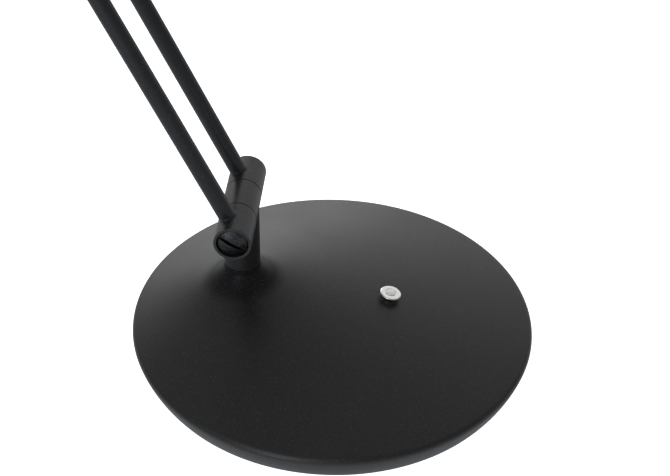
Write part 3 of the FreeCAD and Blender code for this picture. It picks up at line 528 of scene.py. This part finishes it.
def lathe(outline, around=96, loop=False):
    """Turns (radius, height) points about Z; loop makes a ring of a closed outline."""
    rows = []
    for radius, height in outline:
        if radius < 1e-6:
            rows.append([Vector((0, 0, height))])
            continue
        turns = [2 * math.pi * i / around for i in range(around)]
        rows.append([Vector((radius * math.cos(a), radius * math.sin(a), height)) for a in turns])
    return skin(rows, loop)


def cylinder(radius, low, high, around=96):
    """A plain cylinder along Z between two heights."""
    return lathe([(0, low), (radius, low), (radius, high), (0, high)], around)


def moved(mesh, place):
    bmesh.ops.transform(mesh, matrix=place, verts=mesh.verts)
    return mesh


def as_object(mesh, name="part"):
    """Puts a mesh into the scene as an object, and uses the mesh up."""
    data = bpy.data.meshes.new(name)
    mesh.to_mesh(data)
    mesh.free()
    thing = bpy.data.objects.new(name, data)
    bpy.context.scene.collection.objects.link(thing)
    return thing


def combined(body, tools, how="DIFFERENCE"):
    """The body with each tool cut away, or with how="UNION" merged in."""
    made = [as_object(mesh) for mesh in [body, *tools]]
    for tool in made[1:]:
        change = made[0].modifiers.new("combine", "BOOLEAN")
        change.operation = how
        change.solver = "EXACT"
        change.object = tool
    whole = result_of(made[0])
    for thing in made:
        bpy.data.objects.remove(thing)
    return whole


def result_of(thing):
    """The mesh of an object with its modifiers applied."""
    graph = bpy.context.evaluated_depsgraph_get()
    data = bpy.data.meshes.new_from_object(thing.evaluated_get(graph))
    mesh = bmesh.new()
    mesh.from_mesh(data)
    bpy.data.meshes.remove(data)
    return mesh


def softened(mesh, width, segments):
    """The mesh with its sharp edges bevelled."""
    thing = as_object(mesh)
    bevel = thing.modifiers.new("soften", "BEVEL")
    bevel.width = width
    bevel.segments = segments
    bevel.limit_method = "ANGLE"
    bevel.angle_limit = math.radians(SHARP_ANGLE)
    result = result_of(thing)
    bpy.data.objects.remove(thing)
    return result


def piece(name, mesh, node, place=Matrix.Identity(4), materials=()):
    """Puts a mesh in millimetres into the frame, in place of a CAD node, on its body and slot."""
    moved(mesh, Matrix.Scale(MM, 4) @ place)
    bmesh.ops.recalc_face_normals(mesh, faces=mesh.faces)
    thing = as_object(mesh, name)
    thing.data.shade_smooth()
    thing.data.set_sharp_from_angle(angle=math.radians(SHARP_ANGLE))
    for material in materials or (MATERIALS[SLOTS[node]],):
        thing.data.materials.append(material)
    even = thing.modifiers.new("even shading", "WEIGHTED_NORMAL")
    even.keep_sharp = True
    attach(thing, BODY_OF[node])
    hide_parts(node)


# ---- oblique cones: the base cover and the shade -------------------------------
class Cone:
    """A slope between a small circle at the neck and a larger level circle at the eave."""

    def __init__(self, neck, eave):
        self.neck_x, self.neck_r, self.neck_z = neck
        self.eave_x, self.eave_r, self.eave_z = eave
        self.shift = self.eave_x - self.neck_x
        self.growth = self.eave_r - self.neck_r

    def height(self, out, turn):
        """Height of the slope at a distance and direction from the neck's axis."""
        a = self.growth ** 2 - self.shift ** 2
        b = 2 * (self.neck_r * self.growth + out * math.cos(turn) * self.shift)
        c = self.neck_r ** 2 - out ** 2
        share = (math.sqrt(b * b - 4 * a * c) - b) / (2 * a)
        return self.neck_z + (self.eave_z - self.neck_z) * share

    def reach(self, turn):
        """Distance from the neck's axis to the eave in a direction."""
        side = self.shift * math.sin(turn)
        return self.shift * math.cos(turn) + math.sqrt(self.eave_r ** 2 - side ** 2)

    def point(self, out, turn, height=None):
        if height is None:
            height = self.height(out, turn)
        return Vector((self.neck_x + out * math.cos(turn), out * math.sin(turn), height))


def rim_outline(crease_r, crease_z, foot_r, foot_z, bulge, fillet):
    """(radius, height) from the end of the slope, round the crease and down the curved wall."""
    eave_turn, steps, wall_steps = math.radians(80), 5, 10
    centre = Vector((crease_r - fillet, crease_z - fillet))
    turns = [eave_turn * (1 - k / steps) for k in range(steps + 1)]
    outline = [centre + Vector((math.cos(a), math.sin(a))) * fillet for a in turns]
    top, foot = outline[-1], Vector((foot_r, foot_z))
    for k in range(1, wall_steps + 1):
        share = k / wall_steps
        outline.append(top.lerp(foot, share) + Vector((4 * bulge * share * (1 - share), 0)))
    return outline


def flare_outline(cone, turn, steps=22):
    """(distance, height) down the collar and its flare to the slope, in one direction."""
    top, edge, foot = (FLARE_TOP_Z + height for height in BEAD_HEIGHTS)
    bead_r = BARREL_R + BEAD_OUT
    outline = [(BARREL_R, SEAM_Z - 2 * SOFT_EDGE), (BARREL_R, top), (bead_r, edge), (bead_r, foot)]
    rise = FLARE_TOP_Z - cone.height(BARREL_R, turn)
    for k in range(steps + 1):
        share = k / steps
        out = BARREL_R + (FLARE_END_R - BARREL_R) * share ** FLARE_CROWDING
        sunk = math.exp((BARREL_R - out) / FLARE_REACH) - share * FLARE_TAIL
        outline.append((out, cone.height(out, turn) + rise * sunk))
    return outline


def slope_rows(cone, rim, starts, turns, count=48):
    """Rows of points down the slope from each start distance, then round the rim."""
    rows = []
    for k in range(1, count):
        share = (k / count) ** SLOPE_CROWDING
        rows.append([cone.point(start + (cone.reach(turn) - start) * share, turn)
                     for start, turn in zip(starts, turns)])
    eave = [cone.point(cone.reach(turn), turn) for turn in turns]
    bearings = [math.atan2(point.y, point.x - cone.eave_x) for point in eave]
    for radius, height in rim:
        rows.append([Vector((cone.eave_x + radius * math.cos(a), radius * math.sin(a), height))
                     for a in bearings])
    return rows


def cover_mesh():
    """The pressed cover: collar, soft blend, slope, crease, curved wall and the hollow below."""
    around = 240
    turns = [2 * math.pi * k / around for k in range(around)]
    rim = rim_outline(CREASE_R, CREASE_Z, FOOT_R, WALL_FOOT_Z, WALL_BULGE, CREASE_FILLET)
    inner_rim = rim_outline(CAVITY_EAVE_R, CAVITY_EAVE_Z, FOOT_R - WALL_T, WALL_FOOT_Z,
                            WALL_BULGE, CREASE_FILLET)
    cone = Cone((APEX_X, NECK_R, NECK_Z), (0, *rim[0]))
    hollow = Cone((APEX_X, CAVITY_TOP_R, CAVITY_TOP_Z), (0, *inner_rim[0]))
    lip = rounded([(BEARING_R, SEAM_Z, 0), (BARREL_R, SEAM_Z, SOFT_EDGE),
                   (BARREL_R, SEAM_Z - 2 * SOFT_EDGE, 0)])
    rows = [[cone.point(out, turn, height) for turn in turns] for out, height in lip[:-1]]
    flares = [flare_outline(cone, turn) for turn in turns]
    for k in range(len(flares[0])):
        rows.append([cone.point(flare[k][0], turn, flare[k][1])
                     for flare, turn in zip(flares, turns)])
    starts = [FLARE_END_R] * around
    rows += slope_rows(cone, rim, starts, turns)
    inner_starts = [CAVITY_TOP_R] * around
    below = slope_rows(hollow, inner_rim, inner_starts, turns, count=8)
    rows += below[::-1]
    rows.append([hollow.point(CAVITY_TOP_R, turn, CAVITY_TOP_Z) for turn in turns])
    rows.append([hollow.point(BEARING_R, turn, CAVITY_TOP_Z) for turn in turns])
    return skin(rows, loop=True)


def on_slope():
    """The place of the button's parts: Z square to the cone."""
    steep = math.tan(math.radians(BUTTON_SLOPE))
    height = NECK_Z - steep * (BUTTON_X - APEX_X - NECK_R)
    lean = Matrix.Rotation(math.radians(BUTTON_SLOPE), 4, "Y")
    return Matrix.Translation((BUTTON_X, 0, height)) @ lean


def inlet_place():
    """Square to the wall at the inlet, Z pointing outwards."""
    share = (INLET_Z - WALL_FOOT_Z) / (CREASE_Z - CREASE_FILLET - WALL_FOOT_Z)
    out = FOOT_R + (CREASE_R - FOOT_R) * share + WALL_BULGE
    outwards = Matrix.Rotation(math.radians(-90 - WALL_LEAN), 4, "Y")
    return Matrix.Translation((-out, 0, INLET_Z)) @ outwards


def build_base():
    button_hole = moved(cylinder(BUTTON_HOLE_R, -9, 3), on_slope())
    inlet_hole = moved(cylinder(INLET_R, -8, 4, 48), inlet_place())
    piece("cover_shell", combined(cover_mesh(), [button_hole, inlet_hole]), "base_cover",
          materials=COVER_MATERIALS)
    build_bushing()
    build_button()
    build_underside()


def build_bushing():
    """The inlet's bushing, gripped by the wall in its groove; heights are along its own axis."""
    bore_r, flange_r, groove_r, lip_r = 3.1, 5.6, 4.55, 5.7
    back, flange, face, proud = -5.0, -2.6, -0.4, 0.5
    outline = [(bore_r, back, 0.4), (flange_r, back, 0.4), (flange_r, flange, 0.2),
               (groove_r, flange, 0.2), (groove_r, face, 0.2), (lip_r, face, 0.2),
               (lip_r, proud, 0.45), (bore_r, proud, 0.45)]
    piece("inlet_bushing", lathe(rounded(outline), 64, loop=True), "cord_bushing", inlet_place())


def build_button():
    """The chrome mushroom on its stem, and the satin disc let into its top."""
    pin_r, pin_end, retainer_r, retainer_low, retainer_top = 1.5, -13.0, 4.7, -6.4, -4.55
    neck_r, neck_foot, dish_r = 4.5, 2.0, 3.35
    cap = [(0, pin_end, 0), (pin_r, pin_end, 0.3), (pin_r, retainer_low, 0),
           (retainer_r, retainer_low, 0.2), (retainer_r, retainer_top, 0.2),
           (STEM_R, retainer_top, 0), (STEM_R, neck_foot, 0.2),
           (neck_r, BUTTON_UNDER - 0.5, 0.15), (neck_r, BUTTON_UNDER, 0),
           (BUTTON_R, BUTTON_UNDER, 0.3), (BUTTON_R, BUTTON_TOP - 0.35, 0.25),
           (BUTTON_R - 0.5, BUTTON_TOP, 0.2), (dish_r, BUTTON_TOP, 0.12),
           (dish_r, DISC_SEAT, 0.1), (0, DISC_SEAT, 0)]
    piece("chrome_button", lathe(rounded(cap), 96), "button_cap", on_slope())
    disc_r, disc_edge, disc_top = 2.95, 4.25, 4.35
    disc = [(0, DISC_SEAT, 0), (disc_r, DISC_SEAT, 0), (disc_r, disc_edge, 0.18), (0, disc_top, 0)]
    piece("satin_button_disc", lathe(rounded(disc), 72), "button_insert", on_slope())


def build_underside():
    """The rubber pad with its moulded grip rings, pierced for the screws."""
    pad_r, pad_t, edge = 109.4, 1.5, 0.5
    ring_margin, ring_least_r, ring_step, ring_w, ring_depth = 6.0, 14.0, 9.0, 2.2, 0.45
    draft, soft, hole_r = 0.4, 0.15, 4.4
    screw_circles = ((4, 107.3, 45), (3, 60.0, 60))    # count, radius, first direction
    outline = [(0, pad_t, 0), (pad_r, pad_t, 0), (pad_r, 0, edge)]
    radius = pad_r - ring_margin
    while radius > ring_least_r:
        outline += [(radius, 0, soft), (radius - draft, ring_depth, soft),
                    (radius - ring_w + draft, ring_depth, soft), (radius - ring_w, 0, soft)]
        radius -= ring_step
    outline.append((0, 0, 0))
    holes = []
    for count, out, first in screw_circles:
        for k in range(count):
            turn = math.radians(first + k * 360 / count)
            place = Matrix.Translation((out * math.cos(turn), out * math.sin(turn), 0))
            holes.append(moved(cylinder(hole_r, -1, 3, 48), place))
    piece("grip_pad", combined(lathe(rounded(outline, 2), 160), holes), "foot_pad")


# ---- post and hinges -----------------------------------------------------------
def barrel(near, far, bore, hollow=None):
    """Outline of a barrel segment along Z; hollow is a counterbore's radius and floor."""
    outline = [(bore, near, 0.1), (BARREL_R, near, 0.18), (BARREL_R, far, SOFT_EDGE)]
    if hollow:
        wide, floor = hollow
        outline += [(wide, far, 0.2), (wide, floor, 0.2), (bore, floor, 0)]
    else:
        outline += [(bore, far, 0.1)]
    return lathe(rounded(outline), 128, loop=True)


def build_post():
    column = lathe(rounded([(0, SEAM_Z + SEAM_T, 0), (BARREL_R, SEAM_Z + SEAM_T, 0.25),
                            (BARREL_R, LOWER_PIVOT.z, 0), (0, LOWER_PIVOT.z, 0)]), 128)
    hub = moved(barrel(-HUB_HALF, HUB_HALF, BUSH_BORE_R), OUT_REAR)
    spigot_r, spigot_low, wire_r = 6.0, 31.5, 3.2
    spigot = cylinder(spigot_r, spigot_low, SEAM_Z + 2)
    moved(hub, Matrix.Translation((0, 0, LOWER_PIVOT.z)))
    bore = cylinder(wire_r, spigot_low - 1, LOWER_PIVOT.z, 48)
    cross = cylinder(BUSH_BORE_R, -CUT_HALF, CUT_HALF)
    moved(cross, Matrix.Translation((0, 0, LOWER_PIVOT.z)) @ OUT_REAR)
    body = combined(column, [hub, spigot], "UNION")
    piece("post_and_hub", combined(body, [bore, cross]), "post", Matrix.Translation((APEX_X, 0, 0)))


def slotted_face(radius, seat, edge, apex, slot_w, slot_depth, rim_round=0.35, mouth=0.22):
    """A domed round head along Z whose full-width slot runs along X with rounded lips."""
    rise = apex - edge
    ball = (radius ** 2 + rise ** 2) / (2 * rise)
    floor, half, corner = apex - slot_depth, slot_w / 2, 0.25

    def top(across, along):
        out = min(math.hypot(across, along), radius)
        height = apex - ball + math.sqrt(ball ** 2 - out ** 2)
        over = max(out - (radius - rim_round), 0)
        return height - rim_round + math.sqrt(rim_round ** 2 - over ** 2)

    quarter = [math.pi / 2 * k / 4 for k in range(5)]
    section = [(0, 0, True)]
    section += [(half - corner + corner * math.sin(a), corner * (1 - math.cos(a)), True)
                for a in quarter]
    section += [(half + mouth * (1 - math.cos(a)), mouth * (math.sin(a) - 1), False)
                for a in quarter]
    start = math.asin((half + mouth) / radius)
    sweep = [start + (math.pi / 2 - start) * k / 14 for k in range(1, 15)]
    section += [(radius * math.sin(a), 0, False) for a in sweep]
    section = [(-across, lift, low) for across, lift, low in section[:0:-1]] + section
    along_turns = [math.pi * (k / 36 - 0.5) for k in range(37)]
    rows = []
    for across, lift, low in section:
        chord = math.sqrt(max(radius ** 2 - across ** 2, 0))
        row = [Vector((-chord, across, seat))]
        for turn in along_turns:
            along = chord * math.sin(turn)
            height = floor + lift if low else top(across, along) + lift
            row.append(Vector((along, across, height)))
        row.append(Vector((chord, across, seat)))
        rows.append(row)
    mesh = skin(rows)
    bmesh.ops.remove_doubles(mesh, verts=mesh.verts, dist=1e-4)
    return mesh


def bolt_end(turn, side):
    """Place of a slotted head about the hinge axis, its slot turned from square to the rods."""
    return Matrix.Rotation(math.radians(turn), 4, "Y") @ side


def worn_slot(face, place, half, floor):
    """Gives the slot's walls and floor the second material."""
    back = place.inverted()
    for side in face.faces:
        spot = back @ side.calc_center_median()
        side.material_index = int(abs(spot.y) < half + 0.01 and spot.z > floor - 0.1)


def build_hinge(name, place):
    """Two rod collars with their slotted bolt and nut ends."""
    shank_end, nut_bore = -33.6, (20, 34)
    near, hollow = HUB_HALF + WASHER_T, (COUNTERBORE_R, COUNTERBORE_FLOOR)
    for side, out in (("rear", OUT_REAR), ("front", OUT_FRONT)):
        collar = moved(barrel(near, BARREL_HALF, BOLT_R + 0.05, hollow), out)
        piece(f"{name}_{side}_barrel", collar, f"{name}_collar_{side}", place)
    for kind, out in (("bolt", OUT_FRONT), ("nut", OUT_REAR)):
        face = slotted_face(BOLT_HEAD_R, HEAD_SEAT, HEAD_EDGE, HEAD_APEX, SLOT_W, SLOT_DEPTH)
        moved(face, bolt_end(SLOT_TURNS[kind], out))
        if kind == "bolt":
            shank = cylinder(BOLT_R, shank_end, HEAD_SEAT + 0.5, 64)
            face = combined(face, [moved(shank, OUT_FRONT)], "UNION")
        else:
            bore = cylinder(BOLT_R + SLIP, *nut_bore, 64)
            face = combined(face, [moved(bore, OUT_REAR)])
        worn_slot(face, bolt_end(SLOT_TURNS[kind], out), SLOT_W / 2, HEAD_APEX - SLOT_DEPTH)
        piece(f"{name}_slotted_{kind}", face, f"{name}_pivot_{kind}", place, BOLT_MATERIALS)


def rod_mesh(radius, length, far_barrel=True, fillet=WELD, around=72):
    """A rod along Z from a barrel's axis, with a small weld fillet where it meets the barrel."""
    steps, sunk = 6, 0.6
    turns = [2 * math.pi * k / around for k in range(around)]

    def saddle(out, turn):
        return math.sqrt(BARREL_R ** 2 - (out * math.cos(turn)) ** 2)

    end = [[Vector((0, 0, BARREL_R - 3 * sunk))]]
    skirt = radius + fillet
    end.append([Vector((skirt * math.cos(a), skirt * math.sin(a), saddle(skirt, a) - sunk))
                for a in turns])
    for k in range(steps + 1):
        bend = math.pi / 2 * (1 - k / steps)
        out = radius + fillet * (1 - math.cos(bend))
        lift = fillet * (1 - math.sin(bend))
        end.append([Vector((out * math.cos(a), out * math.sin(a), saddle(out, a) + lift))
                    for a in turns])
    if far_barrel:
        flip = [[Vector((p.x, p.y, length - p.z)) for p in row] for row in end[::-1]]
        return skin(end + flip)
    tip = [[Vector((radius * math.cos(a), radius * math.sin(a), length)) for a in turns],
           [Vector((0, 0, length))]]
    return skin(end + tip)


def build_arms():
    build_hinge("lower", AT_LOWER)
    build_hinge("elbow", AT_ELBOW)
    length = (ELBOW - LOWER_PIVOT).length
    for name, side in (("rear", 1), ("front", -1)):
        rod = moved(rod_mesh(ROD_R, length), Matrix.Translation((0, side * ROD_Y, 0)))
        piece(f"lower_arm_rod_{name}", rod, f"rod_{name}", AT_LOWER)
    hub = moved(barrel(-HUB_HALF, HUB_HALF, BUSH_BORE_R), OUT_REAR)
    piece("elbow_cross_hub", hub, "elbow_hub", AT_UPPER)
    tube = rod_mesh(TUBE_R, TUBE_END, far_barrel=False)
    piece("upper_arm_tube", tube, "upper_tube", AT_UPPER)


# ---- head ----------------------------------------------------------------------
def build_head():
    collar_r, bore_r, throat_r, low, high = 8.2, 7.02, 4.8, HEAD_REACH - 40.0, HEAD_REACH - 24.4
    collar = [(bore_r, low, 0.15), (collar_r, low, 0.5), (collar_r, high, 0.35),
              (throat_r, high, 0.1), (throat_r, TUBE_END, 0), (bore_r, TUBE_END, 0)]
    piece("roll_end_collar", lathe(rounded(collar), 96, loop=True), "upper_end_collar", AT_UPPER)
    build_knuckle()
    build_yoke()
    build_shade()


def build_knuckle():
    """The tilt hub with its shoulder and the grooved stem that rolls in the tube's end."""
    hub_r, half, stem_r, stem_end = 9.5, 7.98, 4.6, -46.0
    shoulder_r, shoulder_low, shoulder_high, neck_r, neck_top = 8.0, -24.0, -18.0, 5.6, -2.0
    groove_r, groove_past, groove_low, groove_high = 4.0, 7.0, -44.7, -43.7
    hub = lathe(rounded([(0, -half, 0), (hub_r, -half, 0.3), (hub_r, half, 0.3), (0, half, 0)]),
                112)
    stem = lathe(rounded([(0, stem_end, 0), (stem_r, stem_end, 0.4), (stem_r, shoulder_low, 0),
                          (shoulder_r, shoulder_low, 0.3), (shoulder_r, shoulder_high, 0.9),
                          (neck_r, shoulder_high, 0.9), (neck_r, neck_top, 0), (0, neck_top, 0)]),
                 96)
    cross = cylinder(TILT_BORE_R, -CUT_HALF, CUT_HALF, 64)
    groove = lathe([(groove_r, groove_low), (groove_past, groove_low),
                    (groove_past, groove_high), (groove_r, groove_high)], 64, loop=True)
    body = combined(moved(hub, OUT_REAR), [stem], "UNION")
    body = combined(body, [moved(cross, OUT_REAR), groove])
    piece("tilt_knuckle", body, "head_knuckle", AT_KNUCKLE)


def brick(x, y, z):
    """A block between (low, high) pairs."""
    mesh = bmesh.new()
    bmesh.ops.create_cube(mesh, size=1.0)
    size = Matrix.Diagonal((x[1] - x[0], y[1] - y[0], z[1] - z[0], 1))
    middle = Matrix.Translation([(pair[0] + pair[1]) / 2 for pair in (x, y, z)])
    return moved(mesh, middle @ size)


def build_yoke():
    """Cast yoke: two ears, webs, a bridge and the stem into the shade."""
    ear_r, inner, outer, web, foot, web_top, bridge_top = 9.5, 8.4, 17.5, 5.0, -24.0, -4, -15.0
    stem_r, stem_high, spigot_r, spigot_low, joint = 7.5, -23.0, 5.0, -44.0, 0.8
    counterbore_r, counterbore_floor, soft = 6.7, 13.0, 0.7
    sides = [moved(cylinder(ear_r, inner, outer, 112), out) for out in (OUT_REAR, OUT_FRONT)]
    webs = [brick((-web, web), span, (foot, web_top))
            for span in ((inner, outer), (-outer, -inner))]
    bridge = brick((-web, web), (-outer, outer), (foot, bridge_top))
    stem = cylinder(stem_r, SHADE_TOP_Z, stem_high)
    spigot = cylinder(spigot_r, spigot_low, SHADE_TOP_Z + joint, 64)
    body = combined(bridge, [*sides, *webs, stem], "UNION")
    body = combined(softened(body, soft, 3), [spigot], "UNION")
    cutters = [moved(cylinder(TILT_BORE_R, -CUT_HALF, CUT_HALF, 64), OUT_REAR)]
    for out in (OUT_REAR, OUT_FRONT):
        cutters.append(moved(cylinder(counterbore_r, counterbore_floor, CUT_HALF, 80), out))
    piece("cast_yoke", combined(body, cutters), "head_yoke", AT_HEAD)
    build_tilt_screw(counterbore_floor)


def build_tilt_screw(seat):
    """The slotted bolt and nut of the tilt hinge, smaller than those of the arms."""
    head_r, edge, apex = 6.25, 16.9, 17.5
    slot_w, slot_depth, rim_round, mouth = 1.6, 1.6, 0.3, 0.18
    shank_r, shank_end, nut_bore = 3.0, -15.0, (5, 15.4)
    for kind, turn, out in (("bolt", 20.0, OUT_FRONT), ("nut", 70.0, OUT_REAR)):
        face = slotted_face(head_r, seat, edge, apex, slot_w, slot_depth, rim_round, mouth)
        moved(face, bolt_end(turn, out))
        if kind == "bolt":
            shank = cylinder(shank_r, shank_end, seat + 0.5, 56)
            face = combined(face, [moved(shank, OUT_FRONT)], "UNION")
        else:
            bore = cylinder(shank_r + SLIP, *nut_bore, 56)
            face = combined(face, [moved(bore, OUT_REAR)])
        worn_slot(face, bolt_end(turn, out), slot_w / 2, apex - slot_depth)
        piece(f"tilt_slotted_{kind}", face, f"head_pivot_{kind}", AT_HEAD, BOLT_MATERIALS)


def build_shade():
    """The spun shade, its retaining ring and the opal diffuser."""
    around, wall, bore_r = 200, 2.0, 5.02
    turns = [2 * math.pi * k / around for k in range(around)]
    inside_z = SHADE_TOP_Z - wall
    rim = rim_outline(80.0, -53.0, 78.5, SHADE_FOOT_Z, 0.2, 1.0)
    inner_rim = rim_outline(77.6, -55.2, 77.0, SHADE_FOOT_Z, 0.1, 0.8)
    cone = Cone((0, SHADE_TOP_R, SHADE_TOP_Z), (SHADE_X, *rim[0]))
    hollow = Cone((0, SHADE_TOP_R, inside_z), (SHADE_X, *inner_rim[0]))
    starts = [SHADE_TOP_R] * around
    rows = [[cone.point(out, turn, SHADE_TOP_Z) for turn in turns] for out in (bore_r, SHADE_TOP_R)]
    rows += slope_rows(cone, rim, starts, turns, count=30)
    rows += slope_rows(hollow, inner_rim, starts, turns, count=12)[::-1]
    rows += [[cone.point(out, turn, inside_z) for turn in turns] for out in (SHADE_TOP_R, bore_r)]
    piece("spun_shade", skin(rows, loop=True), "shade", AT_HEAD)
    at_light = Matrix.Translation((SHADE_X, 0, 0))
    ring_in, ring_out, ledge_r, ring_top, ledge = 73.4, 76.8, 75.6, -62.5, -65.25
    ring = [(ring_in, SHADE_FOOT_Z, 0.3), (ring_out, SHADE_FOOT_Z, 0.3), (ring_out, ring_top, 0),
            (ledge_r, ring_top, 0), (ledge_r, ledge, 0), (ring_in, ledge, 0.2)]
    ring = moved(lathe(rounded(ring), 180, loop=True), at_light)
    piece("diffuser_ring", ring, "retaining_ring", AT_HEAD)
    opal_r, opal_top, opal_low = 75.4, -63.0, -65.2
    opal = rounded([(0, opal_top, 0), (opal_r, opal_top, 0.2), (opal_r, opal_low, 0.2),
                    (0, opal_low, 0)])
    piece("opal_disc", moved(lathe(opal, 160), at_light), "diffuser", AT_HEAD)


add_camera()
add_floor()
add_world()
paint_nodes()
build_base()
build_post()
build_arms()
build_head()
for light in LIGHTS:
    add_light(*light)
bpy.context.scene.view_settings.view_transform = "Standard"
